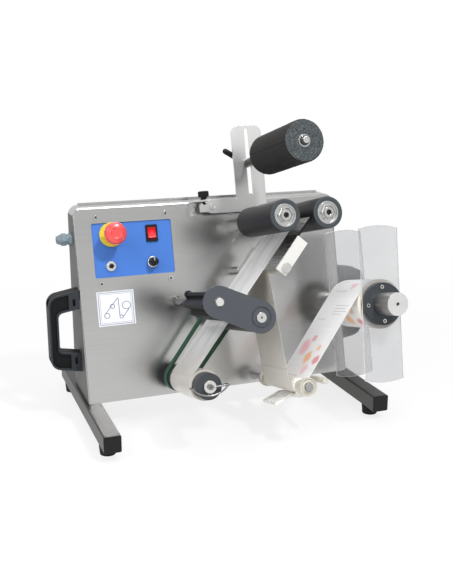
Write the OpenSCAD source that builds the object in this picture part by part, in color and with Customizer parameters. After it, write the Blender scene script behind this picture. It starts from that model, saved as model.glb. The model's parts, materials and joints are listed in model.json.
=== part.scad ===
// Tabletop bottle labelling machine: a leaning sheet-metal box on two skids. Its front panel
// carries the label path (roll, guide, peel blade, traction roller, rewind) and the drive and
// press rollers that turn the bottle. X runs right, Y runs back and Z runs up from the floor.
// Sizes on the panel are given as s (right), t (up along the panel) and d (out from the panel).

/* [Enclosure] */
// Width of the box
panel_w = 516; // [470:1:600]
// Height of the front panel, measured along its lean
panel_len = 350; // [348:1:400]
// Lean of the front panel back from upright, degrees
panel_lean = 14.2; // [10:0.1:16]
// Depth of the box at its bottom
box_base = 122; // [120:1:150]
// Thickness of the sheet metal
sheet = 2; // [1.5:0.1:3]
// Outside radius of the bends beside and above the front panel
bend_r = 5; // [4:0.5:8]
// Radius of the box's top corners, seen from the front
corner_r = 18; // [12:1:26]
// Height of the lip along the back of the top
lip_h = 3; // [2:0.5:6]
// Width of the return flange inside the back edge
flange_w = 14; // [12:1:20]
// Number of ventilation slots in one row of the rear cover
vent_count = 9; // [4:1:12]
// Length of one ventilation slot
vent_len = 60; // [30:1:90]
// Width of one ventilation slot
vent_w = 5; // [3:0.5:8]

/* [Stand] */
// Distance between the middles of the two skids
skid_pitch = 500; // [480:1:520]
// Length of a skid tube
skid_len = 380; // [350:1:460]
// Outside width of the square skid tube
tube = 30; // [26:1:40]
// Wall of the skid tube
tube_wall = 2; // [1.5:0.5:3]
// How far the panel's foot stands in front of the middle of the skids
panel_foot = 46.7; // [30:0.1:60]
// Thickness of a skid end cap's flange
cap_t = 2.5; // [2:0.5:4]
// Diameter of a rubber foot
foot_d = 30; // [24:1:36]
// Height of a rubber foot
foot_h = 17; // [10:1:30]
// Distance between the front and rear feet of a skid
foot_pitch = 307; // [260:1:330]

/* [Handles] */
// Length of a side handle
handle_len = 152; // [140:1:170]
// How far a handle stands out from the side wall
handle_rise = 55; // [48:1:65]
// Width of a handle
handle_w = 27; // [24:1:36]
// Thickness of the handle's grip bar
grip_t = 17; // [13:1:20]
// Length of the finger opening
finger_len = 84; // [80:1:95]
// Height of the handle's middle above the box's bottom
handle_z = 123; // [100:1:160]
// How far the handle's middle lies behind the panel's foot
handle_y = 61; // [50:1:75]
// Radius of the handle's outer corners
handle_r = 20; // [14:1:24]
// Slope of the handle's two arms, degrees
handle_slant = 10; // [0:1:14]

/* [Controls] */
// Middle of the control cut-out across the panel
ctrl_s = -151.5; // [-160:0.5:-140]
// Middle of the control cut-out up the panel
ctrl_t = 271.5; // [260:0.5:280]
// Width of the control cut-out
ctrl_w = 148; // [138:1:150]
// Height of the control cut-out
ctrl_h = 98; // [95:1:105]
// Thickness of the control plate
ctrl_plate = 2; // [1.5:0.5:3]
// Diameter of the emergency stop's collar
stop_collar = 44; // [40:1:50]
// Diameter of the emergency stop's mushroom head
stop_head = 40; // [34:1:44]
// Travel of the emergency stop
stop_travel = 5; // [3:0.5:7]
// Width of the rocker switch's bezel
rocker_w = 22; // [18:1:26]
// Height of the rocker switch's bezel
rocker_h = 31; // [28:1:36]
// Diameter of the speed knob
knob_d = 21; // [16:1:26]
// Diameter of the socket's collar
jack_d = 18; // [14:1:22]

/* [Drive rollers] */
// Left drive roller across the panel
drive_s = 43; // [36:0.5:44]
// Drive rollers up the panel
drive_t = 298.5; // [296:0.5:302]
// Distance between the drive rollers
drive_pitch = 77; // [72:0.5:84]
// Diameter over the rubber of a drive roller
drive_d = 53; // [44:0.5:58]
// Diameter of a drive roller's aluminium core
drive_core = 38; // [32:0.5:42]
// Diameter of a drive shaft
drive_shaft = 15; // [12:0.5:18]
// Diameter of the bearing housing's nose
housing_d = 26; // [23:0.5:30]
// Rear face of the drive rollers, out from the panel
drive_back = 92; // [85:1:100]
// Front face of the drive rollers, out from the panel
drive_front = 246; // [236:1:256]

/* [Press roller] */
// Press roller and its slot across the panel
press_s = 77; // [70:0.5:84]
// Press roller up the panel
press_t = 414.5; // [408:0.5:425]
// Diameter of the foam of the press roller
press_d = 70; // [60:1:80]
// Diameter of the press roller's tube
press_tube = 21; // [18:0.5:26]
// Diameter of the press roller's axle
press_axle_d = 11; // [9:0.5:13]
// Rear face of the press roller
press_back = 115; // [105:1:120]
// Length of the press roller
press_len = 154; // [130:1:160]
// Rear face of the press arm, out from the panel
arm_d = 20; // [18:0.5:24]
// Thickness of the press arm
arm_t = 3; // [2.5:0.5:4]
// Pivot of the press arm across the panel
pivot_s = -1.5; // [-4:0.5:2]
// Pivot of the press arm up the panel
pivot_t = 337; // [334:0.5:340]
// Height of the press arm's lower bar
arm_bar = 26; // [22:1:28]
// Width of the press arm's upright
arm_up = 60; // [50:1:70]
// Top of the press arm up the panel
arm_top = 484; // [478:1:500]
// Width of the slot in the press arm
slot_w = 8.2; // [7:0.1:10]
// Bottom end of the slot up the panel
slot_low = 354; // [352:1:358]
// Top end of the slot up the panel
slot_high = 479; // [465:1:480]
// Length of the clamp lever's handle
lever_len = 46; // [40:1:65]
// Angle of the clamp lever, degrees from the panel's right
lever_angle = 148; // [120:1:160]
// Thickness of the clamp lever's handle
lever_t = 10.5; // [8:0.5:12]

/* [Label path] */
// Width of the label strip
web_w = 113; // [90:1:118]
// Rear edge of the label strip, out from the panel
web_back = 75; // [75:1:80]
// Thickness of the label strip
web_t = 0.4; // [0.3:0.05:0.6]
// Peeling edge across the panel
tip_s = 91; // [86:0.5:94]
// Peeling edge up the panel
tip_t = 294.5; // [292:0.5:297]
// Slope of the peel blade, degrees
peel_angle = 49.2; // [46:0.1:52]
// Thickness of the peel blade
blade_t = 3; // [2:0.5:4]
// Length of the peel blade
blade_len = 107; // [104:1:115]
// Diameter of the cream guide rod below the peel blade
peel_rod = 18; // [16:0.5:22]
// Distance of the guide rod from the peeling edge
peel_rod_e = 95.8; // [90:0.2:98]
// Diameter of the traction roller
traction_d = 50; // [44:0.5:52]
// Distance of the traction roller from the peeling edge
traction_e = 186; // [180:0.5:192]
// Diameter of the traction shaft
traction_shaft_d = 17; // [14:0.5:18]
// Diameter of the pinch roller
pinch_d = 24; // [20:0.5:28]
// Diameter of the rewind roller
rewind_d = 44; // [38:0.5:46]
// Distance of the rewind roller from the peeling edge
rewind_e = 322.4; // [310:0.2:326]
// Thickness of the liner wound on the rewind roller
liner_t = 3.5; // [1.5:0.5:6]
// Diameter of the lower guide roller
guide_d = 25; // [22:0.5:28]
// Lower guide roller across the panel
guide_s = 64; // [60:0.5:70]
// Lower guide roller up the panel
guide_t = 14; // [13:0.5:18]
// Diameter of the cream guide collars
collar_d = 31; // [28:0.5:34]
// Front face of the front guide collar
collar_front = 234; // [225:1:240]
// Support post across the panel
post_s = -80.5; // [-84:0.5:-77]
// Support post up the panel
post_t = 168.8; // [165:0.1:172]
// Diameter of the support post
post_d = 13; // [11:0.5:16]
// Rear face of the bearing plate
plate_back = 233; // [230:1:238]
// Thickness of the bearing plate
plate_t = 7; // [5:0.5:9]
// End radius of the bearing plate
plate_r = 26; // [22:0.5:28]

/* [Belts] */
// Radius of the traction shaft's belt pulley
drive_pulley_r = 25.5; // [22:0.5:27]
// Radius of the rewind roller's belt pulley
rewind_pulley_r = 22.5; // [19:0.5:24]
// Width of the green belt
belt_w = 20; // [12:0.5:22]
// Thickness of a belt
belt_t = 2; // [1.5:0.1:2.5]
// Middle of the green belt, out from the panel
belt_d = 40.5; // [38:0.5:46]
// Radius of the timing pulleys inside the box
timing_r = 16; // [13:0.5:18]

/* [Label roll] */
// Label roll across the panel
roll_s = 236.5; // [230:0.5:240]
// Label roll up the panel
roll_t = 135.3; // [130:0.1:145]
// Outside diameter of the label roll
roll_d = 88; // [84:1:110]
// Inside diameter of the label roll's core
core_d = 76; // [74:0.5:78]
// Diameter of the unwind bar
bar_d = 40; // [34:1:44]
// Front face of the unwind bar
bar_front = 248; // [240:1:256]
// Thickness of a clear roll plate
clear_t = 3; // [2:0.5:4]
// Width of a clear roll plate
clear_w = 76; // [70:1:80]
// Length of a clear roll plate, over its arc ends
clear_len = 278; // [240:1:285]
// Turn of the front and the rear clear plate, degrees
clear_turn = [2.4, -0.4]; // [-5:0.1:5]

/* [Hidden] */
$fn = 64;

// Clearances: a turning or sliding fit, parts that must not touch, and a cut's overrun
fit = 0.05;
skin = 0.3;
over = 1;

// Fasteners: shank, head diameter and head height
screw_shank = 5;
screw_head = 9;
screw_head_h = 3;
bolt_shank = 8;
bolt_head = 13;
bolt_head_h = 5;
stud_d = 8;
stud_len = 14;
stud_nut = 15;
stud_nut_h = 6;

// The box in its own frame; the origin lies under the middle of the machine's outline
box_z = foot_h + tube;
box_h = panel_len * cos(panel_lean);
guide_shaft_d = 14;
guide_end = collar_front + 4;
function reach(t, d, r) = -panel_foot + (t - r) * sin(panel_lean) - d * cos(panel_lean);
front_reach = min(reach(guide_t, guide_end, guide_shaft_d / 2), reach(guide_t, collar_front, collar_d / 2),
    reach(roll_t, bar_front, bar_d / 2));
rear_reach = skid_len / 2 + cap_t;
skid_y = -(front_reach + rear_reach) / 2;
panel_y = skid_y - panel_foot;
back_y = panel_y + box_base;
skid_x = skid_pitch / 2;
wall_x = panel_w / 2;
handle_bolt_z = (handle_len + finger_len) / 4 - handle_rise / 2 * tan(handle_slant);
handle_bolt_x = 12;
vent_pitch = 3 * vent_w;
gland_y = 92;
gland_z = 283;
// Gland thread through the left wall
gland_thread = 16;

// Places on the control plate
ctrl_back = -sheet - ctrl_plate;
stop_s = ctrl_s - 38.5;
stop_t = ctrl_t + 27.5;
rocker_s = ctrl_s + 36.1;
rocker_t = ctrl_t + 25.5;
jack_s = ctrl_s - 44;
jack_t = ctrl_t - 29;
knob_s = ctrl_s + 33.4;
knob_t = ctrl_t - 27;
ctrl_screw_s = 64.5;
ctrl_screw_t = 59.5;
ctrl_rim = 13;
stop_barrel = 22;
stop_stem_d = 10;
stop_neck_d = 8;
stop_collar_h = 4;
stop_block = 28;
stop_head_back = stop_travel + 16;
stop_head_front = stop_head_back + 22;
rocker_key_w = rocker_w - 7;
rocker_key_r = rocker_h / 2 - 4.5;
rocker_tilt = 8;
knob_shaft_d = 6;
knob_bush = 9;
knob_h = 14;
// Circuit board behind the speed knob: size, lower left corner and gap to the control plate
board = [70, 44, 2];
board_corner = [-30, -28];
board_gap = 12;

// Rollers of the drive
drive_right_s = drive_s + drive_pitch;
housing_flange_d = 68;
housing_flange_t = 8;
housing_screw_r = 27;
housing_front = drive_back - 2;
pulley_back = -32;
pulley_front = -16;
timing_belt_w = 10;
timing_belt_d = (pulley_back + pulley_front) / 2;

// Press arm
arm_front = arm_d + arm_t;
tail_end = 25;
tail_low = -10;
tail_high = 4;
adjuster_s = pivot_s - 15.5;
adjuster_d = arm_d + arm_t / 2;
adjuster_thread = 6;
adjuster_tip = pivot_t + tail_high + skin;
adjuster_knob_d = 20;
adjuster_knob_low = adjuster_tip + 13.5;
adjuster_knob_h = 10.5;
tab_low = pivot_t + tail_high + 5;
tab_t = 3;
tab_left = adjuster_s - 23;
tab_right = adjuster_s + 5;
tab_front = adjuster_d + 8.5;
press_front = press_back + press_len;
press_shoulder = 16;
press_axle_end = press_front + 8;
clamp_hub_d = 16;
clamp_back = 4;

// Label path: e runs up the peel blade to its edge, m stands square to it on the liner's side
liner_m = skin + web_t / 2;
feed_m = -blade_t - skin - web_t / 2;
web_front = web_back + web_w;
function along(e, m) = [tip_s, tip_t] + e * [cos(peel_angle), sin(peel_angle)]
    + m * [-sin(peel_angle), cos(peel_angle)];
function out(r) = r + skin + web_t / 2;
peel_rod_at = along(-peel_rod_e, feed_m - out(peel_rod / 2));
traction_at = along(-traction_e, liner_m - out(traction_d / 2));
pinch_at = along(-traction_e, liner_m + out(pinch_d / 2));
wrap_r = rewind_d / 2 + fit + liner_t;
rewind_at = along(-rewind_e, liner_m - out(wrap_r));
guide_at = [guide_s, guide_t];
roll_at = [roll_s, roll_t];
post_at = [post_s, post_t];

// Peel unit, traction unit and rewind
side_t = 3;
peel_back = web_back - 4;
peel_front = 238;
peel_shaft_d = 12;
side_front_len = 67;
side_rear_len = 52;
side_h = 21;
traction_core = 40;
traction_back = web_back - 5;
traction_front = plate_back - 2;
traction_end = plate_back + plate_t + 2;
traction_tail = -58;
motor_face = -36;
motor_back = -60;
motor_w = 64;
motor_can_d = 52;
motor_can_back = -78;
pillar_d = 8;
pillar_pitch = 48;
pinch_pin = 6;
cheek_t = 6;
cheek_back = 100;
cheek_front = 225;
pinch_r = 10;
thumb_d = 8;
thumb_at = post_at + [-7.5, 13];
rewind_front = 210;
rewind_shaft_d = 12;
rewind_pulley_w = belt_w + 4;
bail_d = 3;
bail_hub = 10;

// Lower guide, strip rod and unwind
guide_rear_collar = 52;
guide_roller_back = 62;
collar_t = 10;
collar_hub = 20;
guide_roller_front = web_front + 2;
finger_ring_w = 9;
finger_ring_d = 24;
strip_rod_d = 11;
strip_rod_at = [112.5, 14.7];
strip_rod_len = 200;
hub_back = web_back - 2;
hub_front = web_front + 2;
hub_sleeve_d = core_d - 1;
hub_flange_t = 8;
shoulder_d = 56;
shoulder_t = 10;

// Shared shapes. A rod or a pipe stands on its end; place() puts it on the panel.
module on_panel() translate([0, panel_y, box_z]) rotate([90 - panel_lean, 0, 0]) children();
module place(at, d = 0) on_panel() translate([at[0], at[1], d]) children();
module rod(dia, len) cylinder(d = dia, h = len);
module pipe(od, id, len) {
    difference() {
        rod(od, len);
        translate([0, 0, -over]) rod(id, len + 2 * over);
    }
}
module bore(dia, from, to) translate([0, 0, from]) rod(dia, to - from);
module round_box(size, r) {
    x = size[0];
    y = size[1];
    square([x - 2 * r, y], center = true);
    square([x, y - 2 * r], center = true);
    for (i = [-1, 1], j = [-1, 1]) translate([i * (x / 2 - r), j * (y / 2 - r)]) circle(r);
}
module block(s0, s1, t0, t1, d0, d1) translate([s0, t0, d0]) cube([s1 - s0, t1 - t0, d1 - d0]);
module obround(p, q, r) {
    len = norm(q - p);
    translate(p) rotate(atan2(q[1] - p[1], q[0] - p[0])) {
        circle(r);
        translate([len, 0]) circle(r);
        translate([0, -r]) square([len, 2 * r]);
    }
}

// A screw on its seat: the head stands on z = 0, the shank hangs below, with a hexagon socket
module screw(shank, head, head_h, len) {
    difference() {
        union() {
            cylinder(d = head, h = head_h);
            translate([0, 0, -len]) cylinder(d = shank, h = len + over);
        }
        translate([0, 0, head_h / 3]) cylinder(d = shank * 0.8, h = head_h, $fn = 6);
    }
}

// A shaft's threaded root behind the panel, with its nut
module stud() {
    translate([0, 0, -stud_len]) cylinder(d = stud_d, h = stud_len + over);
}
module stud_nut() {
    translate([0, 0, -sheet - stud_nut_h]) difference() {
        cylinder(d = stud_nut, h = stud_nut_h, $fn = 6);
        translate([0, 0, -over]) cylinder(d = stud_d + 2 * fit, h = stud_nut_h + 2 * over);
    }
}
fixed_roots = [post_at, peel_rod_at, rewind_at, guide_at, strip_rod_at, roll_at, [pivot_s, pivot_t]];

// Places of the small screws on the front panel
ctrl_screws = [for (i = [-1, 1], j = [-1, 1]) [ctrl_s + i * ctrl_screw_s, ctrl_t + j * ctrl_screw_t]];
housing_screws = [for (s = [drive_s, drive_right_s], a = [0 : 90 : 270])
    [s, drive_t] + housing_screw_r * [cos(a), sin(a)]];
bracket_screw = [tab_left + 7, tab_low - 12];
earth_screw = [wall_x - 21.6, 47.8];
// Places of the rear cover's screws, across and up
cover_screws = [for (x = [-1, 1], k = [0.15, 0.5, 0.85]) [x * (wall_x - sheet - flange_w / 2), box_h * k]];

// Enclosure: side outline of the box with its top bend, its walls and its holes
module box_side(inset, extra) {
    r = bend_r - inset;
    foot = inset / cos(panel_lean);
    top = box_h - inset;
    bend = [foot + (r + (top - r) * sin(panel_lean)) / cos(panel_lean), top - r];
    polygon([[foot - extra * tan(panel_lean), -extra], bend + r * [-cos(panel_lean), sin(panel_lean)],
        [bend[0], top], [box_base + extra, top], [box_base + extra, -extra]]);
    translate(bend) circle(r);
}
module along_x(w) rotate([90, 0, 90]) translate([0, 0, -w / 2]) linear_extrude(w) children();
module box_frame() translate([0, panel_y, box_z]) children();
// A frame with z out of a side wall, and one with z out of the rear cover
module on_wall(side, y, z)
    translate([side * wall_x, panel_y + y, box_z + z]) rotate([0, side * 90, 0]) children();
module on_back(p) translate([p[0], back_y, box_z + p[1]]) rotate([-90, 0, 0]) children();
module panel_hole(p, dia) place(p) bore(dia + 2 * skin, -sheet - over, over);

// Two walls with bent front edges: a plan outline carried up along the leaning panel
module plan(w, r, start) {
    translate([-w / 2 + r, start]) square([w - 2 * r, 2 * box_base]);
    translate([-w / 2, start + r]) square([w, 2 * box_base]);
    for (i = [-1, 1]) translate([i * (w / 2 - r), start + r]) circle(r);
}
module column(w, r, start) {
    on_panel() rotate([-90, 0, 0]) translate([0, 0, -box_base]) linear_extrude(panel_len + 2 * box_base)
        plan(w, r, start);
}

// The box's outline with round top corners, carried along its depth; it overruns the top and the sides
module round_top(inset = 0) {
    half = wall_x - corner_r;
    low = box_h - corner_r;
    side = wall_x - inset + over;
    box_frame() rotate([90, 0, 0]) translate([0, 0, -2 * box_base]) linear_extrude(3 * box_base) {
        translate([-half, -box_base]) square([2 * half, box_h + 2 * box_base]);
        translate([-side, -box_base]) square([2 * side, low + box_base]);
        for (i = [-1, 1]) translate([i * half, low]) circle(corner_r - inset);
    }
}

module front_panel() color("silver") {
    walls();
    // Lip along the back of the top
    translate([corner_r - wall_x, back_y - sheet, box_z + box_h - sheet / 2])
        cube([panel_w - 2 * corner_r, sheet, lip_h + sheet / 2]);
}
module walls() {
    difference() {
        intersection() {
            box_frame() along_x(panel_w) box_side(0, 0);
            column(panel_w, bend_r, 0);
            round_top();
        }
        intersection() {
            box_frame() along_x(panel_w) box_side(sheet, over);
            column(panel_w - 2 * sheet, bend_r - sheet, sheet);
            round_top(sheet);
        }
        place([ctrl_s, ctrl_t], -sheet - over) linear_extrude(sheet + 2 * over)
            round_box([ctrl_w, ctrl_h], 3);
        for (p = concat(ctrl_screws, housing_screws, [bracket_screw, earth_screw]))
            panel_hole(p, screw_shank);
        for (p = fixed_roots) panel_hole(p, stud_d);
        for (s = [drive_s, drive_right_s]) panel_hole([s, drive_t], housing_d);
        panel_hole(traction_at, traction_shaft_d);
        for (side = [-1, 1], j = [-1, 1]) on_wall(side, handle_y, handle_z + j * handle_bolt_z)
            bore(bolt_shank + 2 * skin, -sheet - over, over);
        on_wall(-1, gland_y, gland_z) bore(gland_thread + 2 * skin, -sheet - over, over);
    }
    // Return flanges that the rear cover is screwed to
    difference() {
        intersection() {
            for (side = [-1, 1]) box_frame() translate([side * (wall_x - sheet - flange_w / 2), box_base, 0])
                translate([-flange_w / 2 - skin, -2 * sheet - skin, 2 * sheet])
                    cube([flange_w + 2 * skin, sheet, box_h - 2.5 * sheet]);
            round_top(sheet / 2);
        }
        for (p = cover_screws) on_back(p) bore(screw_shank + 2 * skin, -4 * sheet, 0);
    }
}

module rear_cover() color("gainsboro") {
    w = panel_w - 2 * sheet - 2 * skin;
    front = panel_y + (sheet + skin) / cos(panel_lean) + sheet * tan(panel_lean);
    difference() {
        intersection() {
            union() {
                translate([-w / 2, back_y - sheet, box_z]) cube([w, sheet, box_h - sheet - skin]);
                translate([-w / 2, front, box_z]) cube([w, back_y - front, sheet]);
            }
            round_top(sheet + skin);
        }
        for (p = cover_screws) on_back(p) bore(screw_shank + 2 * skin, -sheet - over, over);
        for (side = [-1, 1], i = [0 : vent_count - 1])
            on_back([side * panel_w / 4, box_h / 2 + (i - (vent_count - 1) / 2) * vent_pitch])
                translate([0, 0, -sheet - over]) linear_extrude(sheet + 2 * over)
                    obround([-vent_len / 2, 0], [vent_len / 2, 0], vent_w / 2);
        for (p = skid_bolts) translate([p[0], p[1], box_z])
            bore(bolt_shank + 2 * skin, -over, sheet + over);
    }
}

// Places of the bolts that hold the box to its skids
skid_bolts = [for (x = [-1, 1], y = [panel_y + 34, back_y - 22])
    [x * min(skid_x, wall_x - sheet - bolt_head / 2 - 1), y]];

module skid(x) color("dimgray") {
    difference() {
        translate([x, skid_y, foot_h + tube / 2]) rotate([90, 0, 0]) translate([0, 0, -skid_len / 2])
            linear_extrude(skid_len) difference() {
                round_box([tube, tube], 3);
                round_box([tube - 2 * tube_wall, tube - 2 * tube_wall], 1);
            }
        for (p = skid_bolts) translate([p[0], p[1], box_z])
            bore(bolt_shank + 2 * skin, -tube_wall - over, over);
        for (j = [-1, 1]) translate([x, skid_y + j * foot_pitch / 2, foot_h - over])
            rod(bolt_shank + 2 * skin, tube_wall + 2 * over);
    }
}
module left_skid() skid(-skid_x);
module right_skid() skid(skid_x);

module skid_end_caps() color("black") {
    plug = tube - 2 * tube_wall - 2 * skin;
    for (x = [-1, 1], j = [0, 180]) translate([x * skid_x, skid_y, foot_h + tube / 2]) rotate([90, 0, j])
        translate([0, 0, skid_len / 2]) {
            linear_extrude(cap_t) round_box([tube, tube], 3);
            translate([0, 0, -12]) linear_extrude(12 + over) round_box([plug, plug], 1);
        }
}

module feet() color([0.1, 0.1, 0.1]) {
    for (x = [-1, 1], j = [-1, 1]) translate([x * skid_x, skid_y + j * foot_pitch / 2, 0]) {
        cylinder(d1 = foot_d - 3, d2 = foot_d, h = foot_h);
        cylinder(d = bolt_shank, h = foot_h + 12);
    }
}

// Handle outline: x runs out from the wall and y runs up; inset shrinks it all round. The arms slope,
// and an arc from the sloping side to the outer edge rounds each outer corner.
module round_out(x, h, r) {
    from = 90 - handle_slant;
    steps = 12;
    centre = [x - r, h / 2 - (x - r) * tan(handle_slant) - r / cos(handle_slant)];
    corner = [for (i = [0 : steps]) let (a = from * (1 - i / steps)) centre + r * [cos(a), sin(a)]];
    polygon(concat([[0, -h / 2], [0, h / 2]], corner, [for (p = reversed(corner)) [p[0], -p[1]]]));
}
module handle_outline(inset) {
    side = inset * (1 / cos(handle_slant) + tan(handle_slant));
    difference() {
        translate([inset, 0]) round_out(handle_rise - 2 * inset, handle_len - 2 * side, handle_r - inset);
        translate([-over, 0]) round_out(handle_rise - grip_t + inset + over, finger_len + 2 * inset, 10);
    }
}
// Channel in the handle's front, and a slot in each of its feet
module handle_recess() {
    rim = 3.5;
    foot = 19;
    intersection() {
        handle_outline(rim);
        translate([foot, -handle_len]) square([handle_rise, 2 * handle_len]);
    }
    for (j = [-1, 1]) translate([foot / 2, j * handle_bolt_z]) square([foot / 4, foot / 1.5], center = true);
}
module handle(side) color([0.13, 0.13, 0.14]) {
    recess = 5;
    translate([side * wall_x, panel_y + handle_y, box_z + handle_z])
    mirror([side < 0 ? 1 : 0, 0, 0]) rotate([90, 0, 0]) difference() {
        translate([0, 0, -handle_w / 2]) linear_extrude(handle_w) handle_outline(0);
        translate([0, 0, handle_w / 2 - recess]) linear_extrude(recess + over) handle_recess();
        for (j = [-1, 1]) translate([0, j * handle_bolt_z, 0]) rotate([0, 90, 0]) {
            translate([0, 0, -over]) rod(bolt_shank + 2 * skin, handle_rise + 2 * over);
            translate([0, 0, handle_bolt_x]) rod(bolt_head + 2, handle_rise);
        }
    }
}
module left_handle() handle(-1);
module right_handle() handle(1);

module panel_screws() color("lightgray") {
    for (p = ctrl_screws) place(p) screw(screw_shank, screw_head, screw_head_h, sheet + ctrl_plate + 5);
    for (p = housing_screws) place(p)
        screw(screw_shank, screw_head, screw_head_h, sheet + housing_flange_t - 2);
    place(bracket_screw, tab_t) screw(screw_shank, screw_head, screw_head_h, sheet + tab_t + 5);
    place(earth_screw) screw(screw_shank, screw_head, screw_head_h, sheet + 8);
    for (p = cover_screws) on_back(p) screw(screw_shank, screw_head, screw_head_h, 3 * sheet);
}

module frame_bolts() color("darkgray") {
    for (p = skid_bolts) translate([p[0], p[1], box_z + sheet])
        screw(bolt_shank, bolt_head, bolt_head_h, sheet + tube_wall + 6);
    for (side = [-1, 1], j = [-1, 1]) on_wall(side, handle_y, handle_z + j * handle_bolt_z)
        translate([0, 0, handle_bolt_x])
            screw(bolt_shank, bolt_head, bolt_head_h, handle_bolt_x + sheet + 8);
}

module cable_gland() color("dimgray") {
    on_wall(-1, gland_y, gland_z) difference() {
        union() {
            cylinder(d = 24, h = 6, $fn = 6);
            translate([0, 0, 6]) cylinder(d = 19, h = 5);
            translate([0, 0, 11]) cylinder(d = 23, h = 8, $fn = 8);
            translate([0, 0, 19]) cylinder(d1 = 20, d2 = 13, h = 9);
            translate([0, 0, -sheet - 12]) cylinder(d = gland_thread, h = sheet + 12 + over);
            translate([0, 0, -sheet - 6]) cylinder(d = 22, h = 6, $fn = 6);
        }
        bore(8, -sheet - 12 - over, 30);
    }
}

module control_plate() color([0.09, 0.33, 0.80]) {
    difference() {
        place([ctrl_s, ctrl_t], ctrl_back) linear_extrude(ctrl_plate)
            round_box([ctrl_w + 2 * ctrl_rim, ctrl_h + 2.9 * ctrl_rim], 4);
        for (p = ctrl_screws) place(p) bore(screw_shank + 2 * skin, ctrl_back - over, 0);
        place([stop_s, stop_t]) bore(stop_barrel + 2 * skin, ctrl_back - over, 0);
        place([jack_s, jack_t]) bore(jack_d - 4 + 2 * skin, ctrl_back - over, 0);
        place([knob_s, knob_t]) bore(knob_bush + 2 * skin, ctrl_back - over, 0);
        place([rocker_s, rocker_t], ctrl_back - over) linear_extrude(ctrl_plate + 2 * over)
            square([rocker_w - 3 + 2 * skin, rocker_h - 3 + 2 * skin], center = true);
    }
}

module estop_base() color([0.95, 0.76, 0.05]) {
    place([stop_s, stop_t]) difference() {
        union() {
            bore(stop_collar, -sheet, -sheet + stop_collar_h);
            bore(stop_barrel + 6, -sheet, stop_collar_h);
            bore(stop_barrel, ctrl_back - 8, 0);
            translate([0, 0, ctrl_back - stop_block]) linear_extrude(stop_block - 6)
                square([stop_block, stop_block], center = true);
        }
        bore(stop_stem_d + 2 * fit, ctrl_back - 20, stop_collar_h + over);
    }
}

module estop_stem() color("gray") {
    place([stop_s, stop_t]) {
        bore(stop_stem_d, ctrl_back - 12, stop_head_back);
        bore(stop_neck_d, stop_head_back - over, stop_head_front - 8);
    }
}

module estop_button() color([0.80, 0.08, 0.06]) {
    rim = stop_head / 2;
    place([stop_s, stop_t]) difference() {
        translate([0, 0, stop_head_back]) rotate_extrude() difference() {
            union() {
                square([14, 8]);
                translate([0, 8]) square([rim, 6]);
                translate([0, 14]) intersection() {
                    translate([0, 8 - rim * 2]) circle(rim * 2);
                    square([rim, 8]);
                }
            }
            translate([-stop_head, -over]) square([stop_head, 40]);
        }
        bore(stop_neck_d + 2 * fit, stop_head_back - over, stop_head_front - 8 + fit);
    }
}

module rocker_bezel() color([0.08, 0.08, 0.09]) {
    place([rocker_s, rocker_t]) difference() {
        union() {
            translate([0, 0, -sheet]) linear_extrude(2.5) round_box([rocker_w, rocker_h], 2);
            translate([0, 0, -sheet - 20]) linear_extrude(20 + over)
                square([rocker_w - 3, rocker_h - 3], center = true);
        }
        translate([0, 0, -sheet - rocker_key_r]) linear_extrude(rocker_key_r + 20)
            square([rocker_key_w + 2 * skin, 2 * rocker_key_r + 2 * skin], center = true);
        rotate([0, 90, 0]) translate([sheet, 0, -rocker_w / 2 + 2]) rod(4 + 2 * fit, rocker_w - 4);
    }
}

module rocker_key() color([0.72, 0.05, 0.05]) {
    place([rocker_s, rocker_t], -sheet) rotate([-rocker_tilt, 0, 0]) difference() {
        union() {
            rotate([0, 90, 0]) bore(2 * rocker_key_r - 2 * skin, -rocker_key_w / 2, rocker_key_w / 2);
            rotate([0, 90, 0]) bore(4, -rocker_w / 2 + 2 + skin, rocker_w / 2 - 2 - skin);
        }
        for (j = [-1, 1]) translate([-rocker_w, 0, 3.4]) rotate([j * rocker_tilt, 0, 0])
            translate([0, j > 0 ? 0 : -rocker_h, 0]) cube([2 * rocker_w, rocker_h, rocker_h]);
        translate([-rocker_w, -rocker_h, -rocker_h - 5]) cube([2 * rocker_w, 2 * rocker_h, rocker_h]);
    }
}

module jack_socket() color("gray") {
    place([jack_s, jack_t]) difference() {
        union() {
            bore(jack_d, -sheet, 1.5);
            bore(jack_d - 5, 0, 4);
            bore(jack_d - 4, ctrl_back - 18, 0);
        }
        bore(jack_d - 9, ctrl_back - 12, 5);
    }
}

module speed_knob() color([0.1, 0.1, 0.11]) {
    ribs = 18;
    place([knob_s, knob_t]) {
        difference() {
            union() {
                bore(knob_d, 1, 3);
                bore(knob_d - 4, 2, knob_h + 1);
                for (i = [0 : ribs - 1]) rotate(i * 360 / ribs) translate([knob_d / 2 - 2, 0, 2])
                    cylinder(d = 1.6, h = knob_h - 2);
            }
            translate([0, 0, knob_h]) linear_extrude(2) translate([-0.6, 2]) square([1.2, knob_d / 2 - 5]);
        }
        bore(knob_shaft_d, ctrl_back - 8, 2);
    }
}

module control_board() color([0.08, 0.36, 0.16]) {
    board_d = ctrl_back - board_gap;
    place([knob_s, knob_t]) difference() {
        union() {
            bore(knob_bush, ctrl_back - 2, -sheet + 2);
            bore(17, ctrl_back - 10, ctrl_back);
            translate([board_corner[0], board_corner[1], board_d]) cube(board);
            translate([-24, -24, board_d - 14]) cube([18, 14, 14 + 0.5]);
            translate([10, -22, board_d - 20]) cube([22, 30, 20 + 0.5]);
        }
        bore(knob_shaft_d + 2 * fit, ctrl_back - 9, 2);
    }
}

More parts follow.
